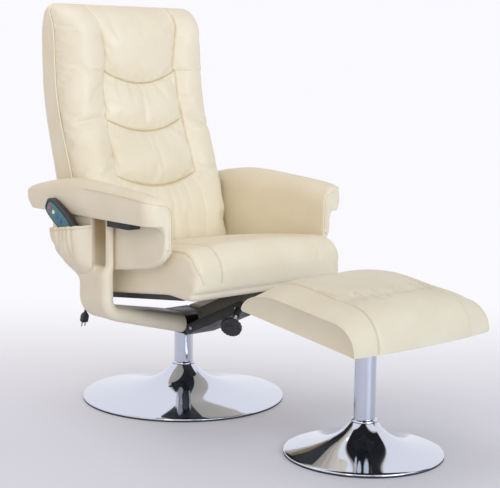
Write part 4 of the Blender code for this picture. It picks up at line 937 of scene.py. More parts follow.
arm_rows = [(0.262, 0.0040), (0.2612, 0.0026), (0.2590, 0.0012), (0.2555, 0.0003), (0.2500, 0)]
arm_rows += [(0.2500 - 0.0418 * i / 6, 0) for i in range(1, 7)]
arm_rows += [(0.20795, 0), (0.2070, 0), (0.2040, 0), (0.1990, 0)]
arm_rows += [(0.1960 - 0.388 * i / 44, 0) for i in range(45)]
arm_rows += [(-0.192 - 0.075 * math.sin(math.pi / 2 * i / 14), 0) for i in range(1, 15)]
arm_rows += [(-0.2684, 0.0003), (-0.2694, 0.0008), (pad_front, 0.0014)]
arm_sections = [drawn_in(arm_ring(y), inset) for y, inset in arm_rows]
arm_columns = len(arm_sections[0])


def arm_point(column, row, side):
    """Point of an arm's skin; its rear end is raked, lower parts further forward."""
    y = arm_rows[row][0]
    x, z = arm_sections[row][column % arm_columns]
    crown = arm_crown(y)
    rake = 0.022 * clamped((crown - z) / (crown - 0.505)) * smooth_step(0.209, 0.262, y)
    return Vector((side * x, y - rake, z))


def corded(name, path, radius, body, mat=leather):
    """Piping: a cord sewn into a strip of the same leather, following a line of points."""
    spline = cord_curve(name, path, radius, "NURBS", 3).data.splines[0]
    spline.order_u = 4
    spline.use_endpoint_u = True
    spline.resolution_u = 4
    bpy.ops.object.convert(target="MESH")
    bpy.ops.object.shade_smooth()
    place(bpy.context.object, body, mat, "cream_leather")


last = len(arm_rows) - 1
for word, side in sides:
    arm = laid_grid(word + "_arm", arm_columns, last, lambda column, row: arm_point(column, row, side))
    ends_filled(arm)
    closed_up(arm, 55)
    # Painted shade along the seam round the arm's nose.
    nose_seam = [-0.2690 < v.co.y < -0.2675 and abs(v.co.x) < 0.264 for v in arm.data.vertices]
    painted_shade_marks(arm, [0.42 if sewn else 0.0 for sewn in nose_seam])
    place(arm, "swivel_frame", leather, "cream_leather", word + "_arm_panel", word + "_arm_pad")

    cord_line = []
    for row in range(2, last):
        flush = smooth_step(-0.03, 0.03, arm_rows[row][0])
        proud = Vector((side * (0.0006 - 0.0026 * flush), 0, 0.0006 - 0.0008 * flush))
        cord_line.append(arm_point(arm_edge, row, side) + proud)
    for column in range(arm_edge, -1, -1):
        cord_line.append(arm_point(column, last, side) + Vector((0, -0.0004, 0)))
    for row in range(last - 2, 16, -1):
        cord_line.append(arm_point(0, row, side) + Vector((side * 0.0006, 0, -0.0006)))
    corded(word + "_arm_piping", cord_line, 0.0020, "swivel_frame")

    bolt_low, bolt_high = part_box(word + "_arm_bolt")
    stud_start = panel_outer - 0.012
    stud_length = max(abs(bolt_low.x), abs(bolt_high.x)) - stud_start
    stud = spun(word + "_arm_stud", ((0, 0), (0.0068, 0), (0.0068, 0.0036), (0.0039, 0.0040),
                                     (0.0039, stud_length), (0, stud_length)), 32)
    softened(stud, 0.0003, 2)
    spot = (side * stud_start, (bolt_low.y + bolt_high.y) / 2, (bolt_low.z + bolt_high.z) / 2)
    stud_seat = Matrix.Translation(spot) @ Matrix.Rotation(side * math.pi / 2, 4, "Y")
    place(stud, "swivel_frame", bare_steel, "bare_steel", word + "_arm_bolt", at=stud_seat)

refinished(black_steel, "right_arm_bracket", "left_arm_bracket", "right_pivot_plate", "left_pivot_plate")
refinished(bare_steel, "right_pivot_bolt", "left_pivot_bolt")


# Handset pocket: a leather bag sewn to the right frame's outer face by its sides and foot, with
# its open top gathered on elastic.
pocket_front = -0.022
pocket_rear = 0.132
pocket_columns = 96
pocket_rows = 52
pocket_face = 0.3094
pocket_gathers = 24.0


def pocket_rule(column, row):
    """Bag's outer face: full below, pulled in at the gathered mouth, flat at its sewn edges."""
    v = 2 * column / pocket_columns - 1
    up = row / pocket_rows
    y = (pocket_front + pocket_rear) / 2 + (pocket_rear - pocket_front) / 2 * v
    top = 0.486 - 0.022 * (v + 1) / 2
    foot = 0.362 + 0.012 * smooth_step(-0.5, -1.0, v) + 0.078 * smooth_step(-0.1, 1.0, v) ** 1.3
    z = foot + (top - foot) * up
    full = max(0.0, (1 - v**6) * (1 - (1 - up) ** 3) * (1 - 0.03 * smooth_step(0.72, 1.0, up)))
    sag = 0.004 * math.sin(math.pi * min(1, up * 1.5)) * (1 - v * v)
    wander = v + 0.05 * math.sin(5.1 * v + 1.0) + 0.02 * math.sin(3 * up)
    loose = 1 - v**8
    folds = 0.0023 + 0.0023 * math.sin(pocket_gathers * wander) + 0.0012 * math.sin(39.0 * wander + 1.4)
    folds *= smooth_step(0.25, 0.85, up) * loose
    slack = 0.0022 * math.sin(9.0 * v + 5.0 * up) * smooth_step(0.05, 0.3, up)
    slack *= smooth_step(0.75, 0.4, up) * loose
    hem = 0.0013 * smooth_step(0.935, 0.955, up) - 0.0012 * math.exp(-((up - 0.93) / 0.012) ** 2)
    ruffle = 0.0007 * math.sin(66.0 * wander) * smooth_step(0.93, 1.0, up)
    out = 0.0385 * full + sag + (folds + slack + ruffle) * (0.2 + 0.8 * full) + hem * full
    z += 0.0009 * math.sin(pocket_gathers * wander + 0.6) * smooth_step(0.8, 1, up) * loose
    return -pocket_face - max(0.0, out), y, z


pocket = laid_grid("handset_pocket", pocket_columns, pocket_rows, pocket_rule)
modified(pocket, "SOLIDIFY", thickness=0.0016, offset=-1)
closed_up(pocket)
# Painted shade in a thin band along the hem below the gathered mouth.
pocket_marks = []
for v in pocket.data.vertices:
    share = (v.co.y - pocket_front) / (pocket_rear - pocket_front)
    band = math.exp(-((v.co.z - 0.4785 + 0.022 * share) / 0.0018) ** 2)
    pocket_marks.append(0.18 * band)
painted_shade_marks(pocket, pocket_marks)
place(pocket, "swivel_frame", leather, "cream_leather", "side_pocket")


# Handset: a black moulded case with a round top end, a teal membrane face let into it and four
# domed keys in wells. It stands in the pocket and leans on the arm's flap.
hand_along = Vector((0, math.cos(math.radians(30)), math.sin(math.radians(30))))
hand_out = Vector((-1, 0, 0))
hand_turned = Matrix((hand_along.cross(hand_out), hand_along, hand_out)).transposed().to_4x4()
hand_length = 0.150
hand_centre = Vector((-0.3323, 0.1345, 0.530)) - hand_along * hand_length / 2
hand_frame = Matrix.Translation(hand_centre) @ hand_turned
key_first = 0.052
key_pitch = 0.020
well_floor = 0.0054
well_depth = 0.020


def hand_slab(name, length, width, low, high, end_round, bevel, shift=0.0):
    """Flat moulding with rounded ends, from a circle drawn out to length, extruded and bevelled."""
    bpy.ops.object.select_all(action="DESELECT")
    bpy.ops.mesh.primitive_circle_add(vertices=96, radius=1, fill_type="NGON")
    obj = bpy.context.object
    obj.name = obj.data.name = name
    for v in obj.data.vertices:
        angle = math.atan2(v.co.y, v.co.x)
        c, s = math.cos(angle), math.sin(angle)
        fat = 1 / (abs(c) ** end_round + abs(s) ** end_round) ** (1 / end_round)
        y = fat * s * length / 2
        waist = 1 - 0.10 * smooth_step(0.2, -1.0, 2 * y / length)
        v.co = (fat * c * width / 2 * waist, y + shift, low)
    edit(obj)
    bpy.ops.mesh.extrude_region_move(TRANSFORM_OT_translate={"value": (0, 0, high - low)})
    bpy.ops.mesh.select_all(action="SELECT")
    bpy.ops.mesh.normals_make_consistent(inside=False)
    bpy.ops.object.mode_set(mode="OBJECT")
    return softened(obj, bevel, 4, 50)


def key_wells(obj):
    """Bore the four wells that the keys move in, and shade the piece."""
    for i in range(4):
        bpy.ops.object.select_all(action="DESELECT")
        spot = (0, key_first - key_pitch * i, well_floor + well_depth / 2)
        bpy.ops.mesh.primitive_cylinder_add(vertices=48, radius=0.0058, depth=well_depth, location=spot)
        drill = bpy.context.object
        modified(obj, "BOOLEAN", operation="DIFFERENCE", solver="EXACT", object=drill)
        bpy.data.objects.remove(drill)
    bpy.ops.object.shade_smooth_by_angle(angle=math.radians(35))


case = hand_slab("handset_shell", hand_length, 0.050, -0.011, 0.011, 3.6, 0.0050)
edit(case)
faces_where(case, lambda centre, normal: normal.z > 0.99 and centre.z > 0.0108)
bpy.ops.mesh.inset(thickness=0.0028)
bpy.ops.mesh.inset(thickness=0.0005, depth=-0.0012)
bpy.ops.object.mode_set(mode="OBJECT")
key_wells(case)
place(case, "handset", black_plastic, "black_plastic", "handset_case", at=hand_frame)

teal_face, tree, shader = surface("teal_face", (0.045, 0.185, 0.205), 0.33)
tone = ramp(tree, noise(tree, 26, 3), 0.3, 0.7, (0.035, 0.155, 0.185), (0.055, 0.215, 0.225))
tree.links.new(tone, shader.inputs["Base Color"])
bumped(tree, shader, noise(tree, 1400, 2), 0.2, 0.0002)
face = hand_slab("handset_membrane", 0.112, 0.0372, 0.0098, 0.0116, 3.6, 0.0006, 0.007)
key_wells(face)
place(face, "handset", teal_face, "teal_face", "handset_face", at=hand_frame)

key_colours = {"red_key": (0.56, 0.045, 0.12), "yellow_key": (0.82, 0.78, 0.46),
               "blue_key": (0.025, 0.095, 0.38)}
key_mats = {finish: moulded(finish, colour, 0.38, 1500) for finish, colour in key_colours.items()}
key_rows = (("power_key", "power_button", "red_key"), ("mode_key", "mode_button", "yellow_key"),
            ("level_key", "level_button", "blue_key"), ("timer_key", "timer_button", "blue_key"))
for i, (body, node, finish) in enumerate(key_rows):
    key = spun(body + "_cap", ((0, 0.0068), (0.0054, 0.0068), (0.0054, 0.0116), (0.0050, 0.0122),
                               (0.0040, 0.0126), (0.0020, 0.01285), (0, 0.0129)), 40, 40)
    key_seat = hand_frame @ Matrix.Translation((0, key_first - key_pitch * i, 0))
    place(key, body, key_mats[finish], finish, node, at=key_seat)


# Seat cushion: foam under leather on a thin dark board, with a full front roll that hangs a little
# over the board. Two seams run front to back and down the roll, and piping ends it at each side.
def rounded_in(point, half, radius):
    """Move a point of a box skin in so that the box's edges are round."""
    core = [max(-(h - r), min(h - r, p)) for p, h, r in zip(point, half, radius)]
    over = Vector([(p - c) / r for p, c, r in zip(point, core, radius)])
    if over.length < 1e-6:
        return Vector(core)
    over.normalize()
    return Vector([c + o * r for c, o, r in zip(core, over, radius)])


def cushion_block(name, lines_x, lines_y, lines_z, rule):
    """Closed block of quads, its skin laid by a rule of three shares from -1 to 1."""
    count = len(lines_x) - 1
    bpy.ops.object.select_all(action="DESELECT")
    bpy.ops.mesh.primitive_cube_add(size=2)
    obj = bpy.context.object
    obj.name = obj.data.name = name
    edit(obj)
    bpy.ops.mesh.subdivide(number_cuts=count - 1)
    bpy.ops.object.mode_set(mode="OBJECT")
    for v in obj.data.vertices:
        steps = [round((c + 1) / 2 * count) for c in v.co]
        v.co = rule(lines_x[steps[0]], lines_y[steps[1]], lines_z[steps[2]])
    bpy.ops.object.shade_smooth()
    return obj


def subdivided(obj):
    """Refine a piece's skin once, rounding it as it goes."""
    modified(obj, "SUBSURF", levels=1, render_levels=1)
    bpy.ops.object.shade_smooth()


def seam_press(obj, lines, width, depth, groove_shade):
    """Draw a cover in along sewn lines and folds, and return how much painted shade the finish lays in each
    groove.
    """
    marks = [0.0] * len(obj.data.vertices)
    obj.data.update()
    normals = [v.normal.copy() for v in obj.data.vertices]
    fine = []
    for line, share in lines:
        points = [Vector(p) for p in line]
        for a, b in zip(points, points[1:]):
            steps = max(1, int((b - a).length / 0.002))
            fine += [(a + (b - a) * i / steps, share) for i in range(steps)]
        fine.append((points[-1], share))
    tree = KDTree(len(fine))
    for i, (spot, share) in enumerate(fine):
        tree.insert(spot, i)
    tree.balance()
    for i, v in enumerate(obj.data.vertices):
        spot, nearest, away = tree.find(v.co)
        if away < 3 * width:
            pull = math.exp(-((away / width) ** 2)) * fine[nearest][1]
            v.co -= normals[i] * depth * pull
            # Painted shade, strongest in the middle of the groove.
            marks[i] = 0.62 * groove_shade * pull**2
    return marks


def surface_line(obj, points):
    """Points moved on to the piece's skin."""
    return [obj.closest_point_on_mesh(Vector(p))[1] for p in points]


seat_half = 0.241
seat_front = -0.353 + seat_forward
seat_rear = 0.070 + seat_forward
seat_thick = 0.104
seat_seam = 0.157
seat_strip = 0.022
seat_middle = Vector((0, (seat_front + seat_rear) / 2, seat_thick / 2))
seat_size = Vector((seat_half, (seat_rear - seat_front) / 2, seat_thick / 2))
seat_even = [2 * i / 56 - 1 for i in range(57)]


def seat_rule(u, v, w):
    """Seat's skin: full front roll, upright sides drawn in, and a crowned top in three panels."""
    lower = smooth_step(0.0, -0.5, w)
    ahead = smooth_step(-0.35, -0.95, v)
    end_round = (0.060 if v < 0 else 0.034) * (1 - lower) + 0.016 * lower
    radius = (0.030 - 0.015 * max(lower, ahead), end_round, 0.052 - 0.036 * lower)
    point = rounded_in((u * seat_size.x, v * seat_size.y, w * seat_size.z), seat_size, radius)
    top = max(0.0, point.z / seat_size.z)
    share = abs(point.x) / seat_seam
    outer = 2 * (share - 1) / (seat_half / seat_seam - 1) - 1
    pillow = 1 - share**2 if share < 1 else 0.7 * (1 - outer**2)
    point.x *= 1 - 0.006 / seat_half * (1 - v * v) * (1 - w * w)
    point.z += (0.017 * (1 - u**4) * (1 - 0.6 * v * v) + 0.003 * pillow) * top
    point.z -= 0.004 * top * smooth_step(-0.2, 0.9, v)
    roll = clamped((0.10 - point.z / seat_size.z) / 0.78)
    point.y += ahead * (0.022 * quarter_round(roll, 0.995) - 0.004 * pillow * (1 - roll))
    point.z -= 0.013 * ahead * lower * smooth_step(0.2, 0.9, roll)
    if abs(u) > 0.999:
        ripple = 0.0012 * math.sin(170 * point.z + 9 * v)
        point.z += ripple * smooth_step(-0.9, -0.4, w) * smooth_step(0.6, 0.1, w)
    return seat_turn @ (point + seat_middle)


seat = cushion_block("seat_pad", seat_even, seat_even, seat_even, seat_rule)
subdivided(seat)
seat_lines = []
for side, share in ((-1, 1.0), (1, 0.40)):
    run = [(0.185 - 0.355 * i / 30, 0.09) for i in range(31)]
    for i in range(1, 17):
        angle = math.pi / 2 * i / 16
        run.append((-0.165 - 0.085 * math.sin(angle), 0.03 + 0.06 * math.cos(angle)))
    run += [(-0.25 + 0.03 * (i / 10) ** 2, 0.03 - 0.060 * i / 10) for i in range(1, 11)]
    line = [seat_turn @ (seat_middle + Vector((side * seat_seam, y, z))) for y, z in run]
    seat_lines.append((surface_line(seat, line), share))
painted_crease_shade = seam_press(seat, seat_lines, 0.0034, 0.0040, 0.50)
seat_cords = []
for side in (-1, 1):
    rim = [(0.0, 0.233, 0.075), (-0.06, 0.235, 0.075), (-0.12, 0.237, 0.072), (-0.165, 0.239, 0.060),
           (-0.190, 0.241, 0.045), (-0.204, 0.240, 0.025), (-0.214, 0.234, 0.005), (-0.222, 0.226, -0.013),
           (-0.228, 0.216, seat_strip - seat_thick / 2)]
    line = [seat_turn @ (seat_middle + Vector((side * x, y, z))) for y, x, z in rim]
    fine = []
    for a, b in zip(line, line[1:]):
        fine += [a + (b - a) * i / 6 for i in range(6)]
    seat_cords.append(surface_line(seat, fine + line[-1:]))
more = seam_press(seat, [(line, 0.8) for line in seat_cords], 0.0034, 0.0016, 0.30)
# Painted shade in the seat's seams and along its piping.
painted_shade_marks(seat, [max(a, b) for a, b in zip(painted_crease_shade, more)])
place(seat, "seat", leather, "cream_leather", "seat_cushion")
for (word, side), line in zip(sides, seat_cords):
    corded("seat_%s_piping" % word, line, 0.0017, "seat")


# Backrest: a rear cover drawn over a moulded shell, with its side gussets, and a padded front of
# two bolsters beside a centre strip that three scalloped seams divide into pillows.
def filled_out(obj, held, pressure, slack, cap, frames=20):
    """Let the cover fill out over its foam, its seams held, with a limit on how far it may move."""
    sewn = obj.vertex_groups.new(name="sewn")
    for i, weight in enumerate(held):
        if weight > 0:
            sewn.add([i], weight, "REPLACE")
    before = [v.co.copy() for v in obj.data.vertices]
    picked(obj)
    cover = obj.modifiers.new("cover", "CLOTH")
    cloth = {"vertex_group_mass": "sewn", "quality": 5, "mass": 0.3, "tension_stiffness": 15,
             "compression_stiffness": 15, "shear_stiffness": 5, "bending_stiffness": 0.5,
             "use_pressure": True, "uniform_pressure_force": pressure, "shrink_min": -slack}
    for key, value in cloth.items():
        setattr(cover.settings, key, value)
    cover.settings.effector_weights.gravity = 0
    cover.collision_settings.use_collision = False
    cover.point_cache.frame_start = 1
    cover.point_cache.frame_end = frames
    for step in range(1, frames + 1):
        scene.frame_set(step)
    bpy.ops.object.modifier_apply(modifier=cover.name)
    scene.frame_set(1)
    for v, old in zip(obj.data.vertices, before):
        step = v.co - old
        if step.length > cap:
            v.co = old + step * (cap / step.length)
    obj.vertex_groups.clear()


def drawn_line(line, z):
    """Smooth depth of a line of (height, depth) points at a height."""
    slopes = []
    for i in range(len(line)):
        a = line[max(i - 1, 0)]
        b = line[min(i + 1, len(line) - 1)]
        slopes.append((b[1] - a[1]) / (b[0] - a[0]))
    for i in range(len(line) - 1):
        if z <= line[i + 1][0] or i == len(line) - 2:
            break
    span = line[i + 1][0] - line[i][0]
    t = (z - line[i][0]) / span
    rise = (2 * t**3 - 3 * t**2 + 1) * line[i][1] + (3 * t**2 - 2 * t**3) * line[i + 1][1]
    return rise + span * ((t**3 - 2 * t**2 + t) * slopes[i] + (t**3 - t**2) * slopes[i + 1])


back_half = 0.238
back_foot = 0.345
back_top = 1.032
back_roll = 0.055
back_turn = 0.026
gusset_line = ((0.345, 0.092), (0.591, 0.174), (0.782, 0.238), (0.937, 0.252), (1.040, 0.256))
rear_line = ((0.345, 0.198), (0.584, 0.266), (0.780, 0.316), (0.951, 0.325), (1.040, 0.316))
scallops = ((0.590, 0.133), (0.733, 0.126), (0.860, 0.111))
scallop_dip = 0.033


def gusset_y(z):
    """Depth at which the front pad and the rear cover meet, at a height."""
    return drawn_line(gusset_line, z) + 0.030 * smooth_step(0.945, 1.045, z) ** 1.5


def back_corner(x, z):
    """Point of the back's outline plane, moved in where the top corners are rounded."""
    over_x = (abs(x) - back_half + back_turn) / back_turn
    over_z = (z - back_top + back_turn) / back_turn
    if over_x <= 0 or over_z <= 0:
        return x, z
    over_x, over_z = min(1, over_x), min(1, over_z)
    x = math.copysign(back_half - back_turn + back_turn * over_x * math.sqrt(1 - over_z**2 / 2), x)
    return x, back_top - back_turn + back_turn * over_z * math.sqrt(1 - over_x**2 / 2)


def strip_half(z):
    """Half width of the centre strip at a height: narrowest at the top scallop, wide at the crown."""
    if z > scallops[2][0]:
        return scallops[2][1] + 0.032 * ((z - scallops[2][0]) / (back_top - scallops[2][0])) ** 1.7
    for (low, a), (high, b) in zip(scallops, scallops[1:]):
        if z > low:
            return a + (b - a) * (z - low) / (high - low)
    return scallops[0][1]


def eased_lines(marks, counts):
    """Grid lines from mark to mark, a little closer together near each mark, where a seam lies."""
    lines = [marks[0]]
    for low, high, count in zip(marks, marks[1:], counts):
        for i in range(1, count + 1):
            share = 0.6 * i / count + 0.4 * (1 - math.cos(math.pi * i / count)) / 2
            lines.append(low + (high - low) * share)
    return lines


seam_u = 0.5
roll_u = 0.74
back_columns = eased_lines((-1, -roll_u, -seam_u, seam_u, roll_u, 1), (9, 13, 44, 13, 9))
back_rows = eased_lines((0, 1, 2, 3, 4, 5), (22, 22, 22, 22, 9))
row_heights = (back_foot, scallops[0][0], scallops[1][0], scallops[2][0], back_top - back_roll)


def drawn_heights(t):
    """Height of a pad row: straight between the seam rows."""
    i = min(3, int(t))
    return row_heights[i] + (row_heights[i + 1] - row_heights[i]) * (t - i)


def back_rule(column, row):
    """Front pad's skin: bolsters, scalloped pillows, rolled sides and top."""
    u = back_columns[column]
    t = back_rows[row]
    roll_up = max(0.0, t - 4)
    height = drawn_heights(min(t, 4))
    roll_out = max(0.0, (abs(u) - roll_u) / (1 - roll_u))
    turn_out = roll_out * math.pi / 2
    turn_up = roll_up * math.pi / 2
    z = height + back_roll * math.sin(turn_up)
    half = strip_half(z)
    edge = back_half - back_roll
    if abs(u) <= seam_u:
        x = half * u / seam_u
    elif abs(u) <= roll_u:
        x = math.copysign(half + (edge - half) * (abs(u) - seam_u) / (roll_u - seam_u), u)
    else:
        x = math.copysign(edge + back_roll * math.sin(turn_out), u)
    within = max(0.0, 1 - (u / seam_u) ** 2)
    sag = scallop_dip * within * smooth_step(0.0, 0.8, t) * (1 - smooth_step(3.0, 4.7, t))
    z -= sag
    round_off = math.cos(turn_out) * math.cos(turn_up)
    full = min(0.052, 0.006 + 0.33 * max(0, z - back_foot))
    swell = 0.0
    if abs(u) < seam_u and t > 1:
        band = t - math.floor(t) if t < 3 else min(1.0, (t - 3) / 1.7)
        lift = 1 - abs(2 * band - 1) ** 2.4
        cross = 1 - abs(u / seam_u) ** 3.0
        swell = 0.016 * lift * cross - 0.003
    elif abs(u) >= seam_u:
        s = (abs(u) - seam_u) / 0.5
        swell = 0.013 * math.sin(math.pi * min(1, s * 1.25)) if s < 0.8 else 0.0
        swell *= smooth_step(0.0, 1.0, t)
    gathers = 0.0
    if abs(u) < seam_u and 1 < t < 3:
        fall = math.ceil(t) - t
        strength = 1.0 if t > 2 else 0.45
        ripple = math.sin(44 * u + 1.3 * math.sin(9 * u) + (0 if t > 2 else 1.7))
        ripple += 0.5 * math.sin(83 * u + 0.4)
        gathers = 0.0021 * strength * ripple * math.exp(-fall / 0.34)
        gathers *= smooth_step(0.0, 0.06, fall) * within**0.5
    if u < -seam_u and t > 1:
        fold = math.exp(-((t - 2.03 + 0.25 * (abs(u) - seam_u)) / 0.10) ** 2)
        gathers -= 0.0060 * fold * (1 - smooth_step(roll_u, 0.95, abs(u)))
    if u > seam_u and t > 1:
        fold = math.exp(-((t - 2.02 + 0.5 * (abs(u) - 0.6)) / 0.09) ** 2)
        gathers -= 0.0045 * fold * smooth_step(0.52, 0.6, abs(u)) * (1 - smooth_step(0.8, 0.98, abs(u)))
    depth = full * round_off + (swell + gathers) * round_off
    x, z = back_corner(math.copysign(abs(x) - 0.003 * math.sin(turn_out) ** 6, u), min(z, back_top))
    return x, gusset_y(z) - 0.0004 - depth, z


back_pad = laid_grid("back_front_pad", len(back_columns) - 1, len(back_rows) - 1, back_rule)
bpy.ops.object.shade_smooth()
across = len(back_columns)
held = []
stitches = []
for i in range(len(back_pad.data.vertices)):
    column, row = i % across, i // across
    u, t = back_columns[column], back_rows[row]
    rim = column in (0, across - 1) or row in (0, len(back_rows) - 1)
    sewn_up = abs(abs(u) - seam_u) < 1e-6 and t > 0.999
    sewn_over = abs(u) < 0.5001 and min(abs(t - k) for k in (1, 2, 3)) < 1e-6
    held.append(1.0 if rim or sewn_up or sewn_over else 0.0)
    stitches.append(0.0 if rim else held[-1])
edit(back_pad)
bpy.ops.mesh.normals_make_consistent(inside=False)
bpy.ops.object.mode_set(mode="OBJECT")
facing = sum(face.normal.y * face.area for face in back_pad.data.polygons)
if facing > 0:
    edit(back_pad)
    bpy.ops.mesh.flip_normals()
    bpy.ops.object.mode_set(mode="OBJECT")
point_values(back_pad, "stitch", stitches)
filled_out(back_pad, held, 4.0, 0.03, 0.022)
subdivided(back_pad)
stitched = [d.value for d in back_pad.data.attributes["stitch"].data]
back_pad.data.attributes.remove(back_pad.data.attributes["stitch"])
normals = [v.normal.copy() for v in back_pad.data.vertices]
for v, value, normal in zip(back_pad.data.vertices, stitched, normals):
    v.co -= normal * 0.0042 * value**2
# Painted shade in the back's seams, lighter along the upright seams.
upright_seam = [abs(abs(v.co.x) - strip_half(v.co.z)) < 0.006 for v in back_pad.data.vertices]
painted_shade_marks(back_pad, [(0.34 if up else 0.64) * value**2 for up, value in zip(upright_seam, stitched)])
place(back_pad, "backrest", leather_warm_seam_shade, "cream_leather", "back_cushion")

cover_lines = [2 * i / 44 - 1 for i in range(45)]


def cover_rule(u, v, w):
    """Rear cover's skin: gussets at the sides and top, and a softly crowned rear."""
    middle = (back_foot + back_top) / 2
    tall = (back_top - back_foot) / 2
    half = Vector((back_half, 0.020, tall))
    spot = (u * half.x, v * half.y, w * tall)
    point = rounded_in(spot, half, (0.018, 0.0195, 0.018)) if v > 0 else Vector(spot)
    z = middle + point.z
    deep = (point.y / half.y + 1) / 2
    front = gusset_y(z)
    rear = drawn_line(rear_line, z) - 0.020 * smooth_step(0.96, 1.04, z)
    puff = 0.006 * (1 - u**4) * (1 - w**4) * deep if v > 0 else 0.0
    side_puff = 0.0025 * math.sin(math.pi * deep) * (abs(u) > 0.999)
    x = math.copysign(abs(point.x) + side_puff, point.x)
    x, z = back_corner(x, z)
    return Vector((x, front + deep * (rear - front) + puff, z))


cover = cushion_block("back_rear_cover", cover_lines, cover_lines, cover_lines, cover_rule)
edit(cover)
bpy.ops.mesh.normals_make_consistent(inside=False)
faces_where(cover, lambda centre, normal: abs(centre.y - gusset_y(centre.z)) < 0.0004)
bpy.ops.mesh.delete(type="FACE")
bpy.ops.object.mode_set(mode="OBJECT")
modified(cover, "SOLIDIFY", thickness=0.004, offset=-1)
bpy.ops.object.shade_smooth_by_angle(angle=math.radians(60))
place(cover, "backrest", leather, "cream_leather", "back_shell")

gusset_cord = []
straight = back_top - back_turn - back_foot - 0.004
for i in range(46):
    z = back_foot + 0.004 + straight * i / 45
    gusset_cord.append(Vector((-back_half - 0.0002, gusset_y(z), z)))
for i in range(1, 12):
    angle = math.pi / 2 * i / 12
    z = back_top - back_turn + back_turn * math.sin(angle)
    x = -(back_half - back_turn) - back_turn * math.cos(angle)
    gusset_cord.append(Vector((x, gusset_y(z), z + 0.0002)))
gusset_cord.append(Vector((-(back_half - back_turn), gusset_y(back_top), back_top + 0.0002)))
gusset_cord += [Vector((-p.x, p.y, p.z)) for p in reversed(gusset_cord)]
corded("back_gusset_piping", gusset_cord, 0.0022, "backrest")

pressed_board = moulded("pressed_board", (0.30, 0.21, 0.12), 0.7, 300)
ply_columns = 12
ply_rows = 40


def ply_rule(column, row):
    """Face of the bent board that the shell, motors and front pad are fixed to."""
    z = back_foot + 0.010 + (back_top - 0.034 - back_foot) * row / ply_rows
    return (back_half - 0.016) * (2 * column / ply_columns - 1), gusset_y(z) + 0.006, z


ply = laid_grid("back_ply", ply_columns, ply_rows, ply_rule)
modified(ply, "SOLIDIFY", thickness=0.0075, offset=1)
closed_up(ply, 40)
softened(ply, 0.0015, 2, 50)
place(ply, "backrest", pressed_board, "board", "back_board")
refinished(pressed_board, "stool_board")


# Footstool cushion: a foam pad whose top leather runs over the front and rear edges in one roll,
# with a flat boxing strip and piping at each side and two seams that a soft cross tuck meets.
stool_turn = Matrix.Translation((0, -0.6645, 0.308)) @ Matrix.Rotation(math.radians(7.4), 4, "X")
stool_half_x = 0.220
stool_half_y = 0.186
stool_seam = 0.150
stool_across = [2 * i / 60 - 1 for i in range(61)]
stool_along = [math.sin(math.pi / 2 * (2 * i / 60 - 1)) for i in range(61)]


def stool_top(u, v):
    """Height of the pad's top: low boxing at the sides, a high crown and a full front roll."""
    rear = 0.35
    rear_run = 0.65

    def profile(tall, front, front_run):
        """Height along the pad, rounded down at the front and the rear."""
        if v < front:
            return tall * math.sqrt(max(0.0, 1 - ((v - front) / front_run) ** 2))
        if v > rear:
            return tall * math.sqrt(max(0.0, 1 - ((v - rear) / rear_run) ** 2))
        return tall

    middle = profile(0.093, -0.50, 0.50)
    side = profile(0.057, -0.61, 0.39)
    share = 1 - abs(u) ** 3.6
    return max(0.005, side + (middle - side) * share)


def stool_tuck(x):
    """Line of the soft tuck across the pad, as a distance along it from the middle."""
    return -0.050 - 0.017 * (1 - (x / stool_seam) ** 2)


def stool_rule(u, v, w):
    """Footstool pad's skin, with the tuck and its gathers in the middle panel."""
    bow = 0.94 + 0.06 * (1 - abs(u) ** 2.3) if v < 0 else 0.985 + 0.015 * (1 - abs(u) ** 2.3)
    x = u * stool_half_x
    y = v * stool_half_y * bow
    z = stool_top(u, v) * (w + 1) / 2
    if abs(u) > 0.999:
        x *= 1 - 0.005 / stool_half_x * (1 - w * w) * (1 - v**4)
    if w > 0.999 and abs(x) < stool_seam:
        away = y - stool_tuck(x)
        inside = 1 - abs(x / stool_seam) ** 8
        z -= 0.0085 * math.exp(-((away / 0.010) ** 2)) * inside * (0.75 + 0.25 * math.sin(31 * x + 0.6))
        ripple = math.sin(2 * math.pi * x / 0.023 + 1.2 * math.sin(40 * x))
        ripple += 0.5 * math.sin(2 * math.pi * x / 0.0115 + 2)
        z += 0.0023 * ripple * math.exp(-abs(away) / 0.017) * inside
    if w > 0.999:
        slack = 0.0013 * math.sin(38 * x + 21 * y) * math.sin(27 * y + 1)
        z += slack * smooth_step(1.0, 0.8, abs(u)) * smooth_step(1.0, 0.9, abs(v))
    return stool_turn @ Vector((x, y, z))


# The footstool's leather is the cream leather darkened to nine tenths, painted shade for the weaker light it
# gets.
stool_leather_shaded_copy = leather_finish("footstool_leather_painted_shade", (0.752, 0.682, 0.523), (0.792, 0.735, 0.587))
stool = cushion_block("footstool_pad", stool_across, stool_along, stool_across, stool_rule)
closed_up(stool)
subdivided(stool)
stool_lines = []
for side, share in ((-1, 1.0), (1, 0.45)):
    run = [stool_rule(side * stool_seam / stool_half_x, -0.999 + 1.96 * i / 80, 1) for i in range(81)]
    stool_lines.append((surface_line(stool, run), share))
marks = seam_press(stool, stool_lines, 0.0036, 0.0046, 0.50)
folds = []
over_top = 0.10
for start, end in (((-0.149, 0.030), (-0.140, -0.024)), ((0.030, -0.074), (0.092, -0.060)),
                   ((-0.040, -0.068), (0.010, -0.073)), ((0.149, 0.010), (0.138, -0.040)),
                   ((-0.120, -0.050), (-0.075, -0.062))):
    line = []
    for i in range(9):
        x, y = (a + (b - a) * i / 8 for a, b in zip(start, end))
        line.append(stool_turn @ Vector((x, y, over_top)))
    folds.append((surface_line(stool, line), 0.9))
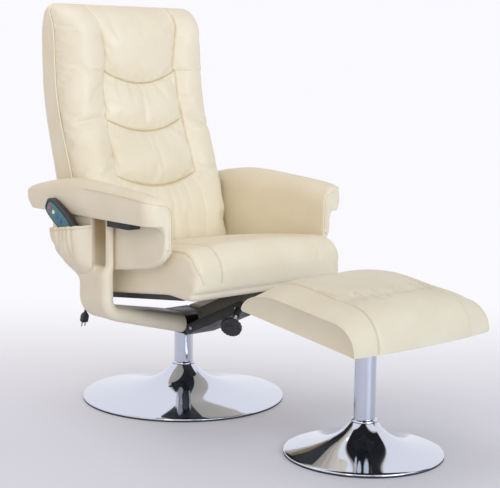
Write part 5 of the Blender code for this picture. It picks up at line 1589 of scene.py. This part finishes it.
for i in range(22):
    x = 0.143 * math.copysign(abs(i / 10.5 - 1) ** 0.7, i - 10.5)
    reach = 0.017 + 0.012 * math.sin(2.3 * i) + 0.016 * abs(x / stool_seam) ** 4
    lean = 0.35 * math.sin(1.7 * i + 0.4)
    line = []
    for j in range(9):
        y = stool_tuck(x) + reach * (j / 4 - 1 + 0.3 * math.sin(3.1 * i))
        line.append(stool_turn @ Vector((x + lean * (y - stool_tuck(x)), y, over_top)))
    folds.append((surface_line(stool, line), 0.55 + 0.35 * math.sin(2.9 * i) ** 2))
more = seam_press(stool, folds, 0.0046, 0.0042, 0.34)
# Painted shade in the footstool's seams, tuck and folds.
painted_shade_marks(stool, [max(a, b) for a, b in zip(marks, more)])
place(stool, "stool_top", stool_leather_shaded_copy, "cream_leather", "stool_cushion")
for word, side in sides:
    rim = [stool_rule(side, math.sin(math.pi / 2 * (2 * i / 72 - 1)), 1) for i in range(73)]
    rim = [p + Vector((side * 0.0004, 0, 0.0003)) for p in rim]
    corded("footstool_%s_piping" % word, rim, 0.0020, "stool_top", stool_leather_shaded_copy)


# Dust cover: a sheet of black felt under the footstool, stretched over its board and tacked on.
# An opening is cut in it for the plate that carries the top.
felt = moulded("black_felt", (0.010, 0.010, 0.011), 0.9, 500)
cover_half = (stool_half_x - 0.010, stool_half_y - 0.016)
plate_half = 0.082


def felt_rule(column, row):
    """Felt's flat cut, one row of its grid along each side of the plate's opening."""
    marks_x = (-cover_half[0], -0.14, -plate_half, 0, plate_half, 0.14, cover_half[0])
    marks_y = (-cover_half[1], -0.12, -plate_half, 0, plate_half, 0.12, cover_half[1])
    return stool_turn @ Vector((marks_x[column], marks_y[row], -0.0002))


under = laid_grid("footstool_dust_cover", 6, 6, felt_rule)
edit(under)
to_board = stool_turn.inverted()
faces_where(under, lambda centre, normal: max(abs(centre.x), abs((to_board @ centre).y)) < plate_half)
bpy.ops.mesh.delete(type="FACE")
bpy.ops.object.mode_set(mode="OBJECT")
modified(under, "SOLIDIFY", thickness=0.0010, offset=-1)
closed_up(under, 30)
place(under, "stool_top", felt, "black_rubber")
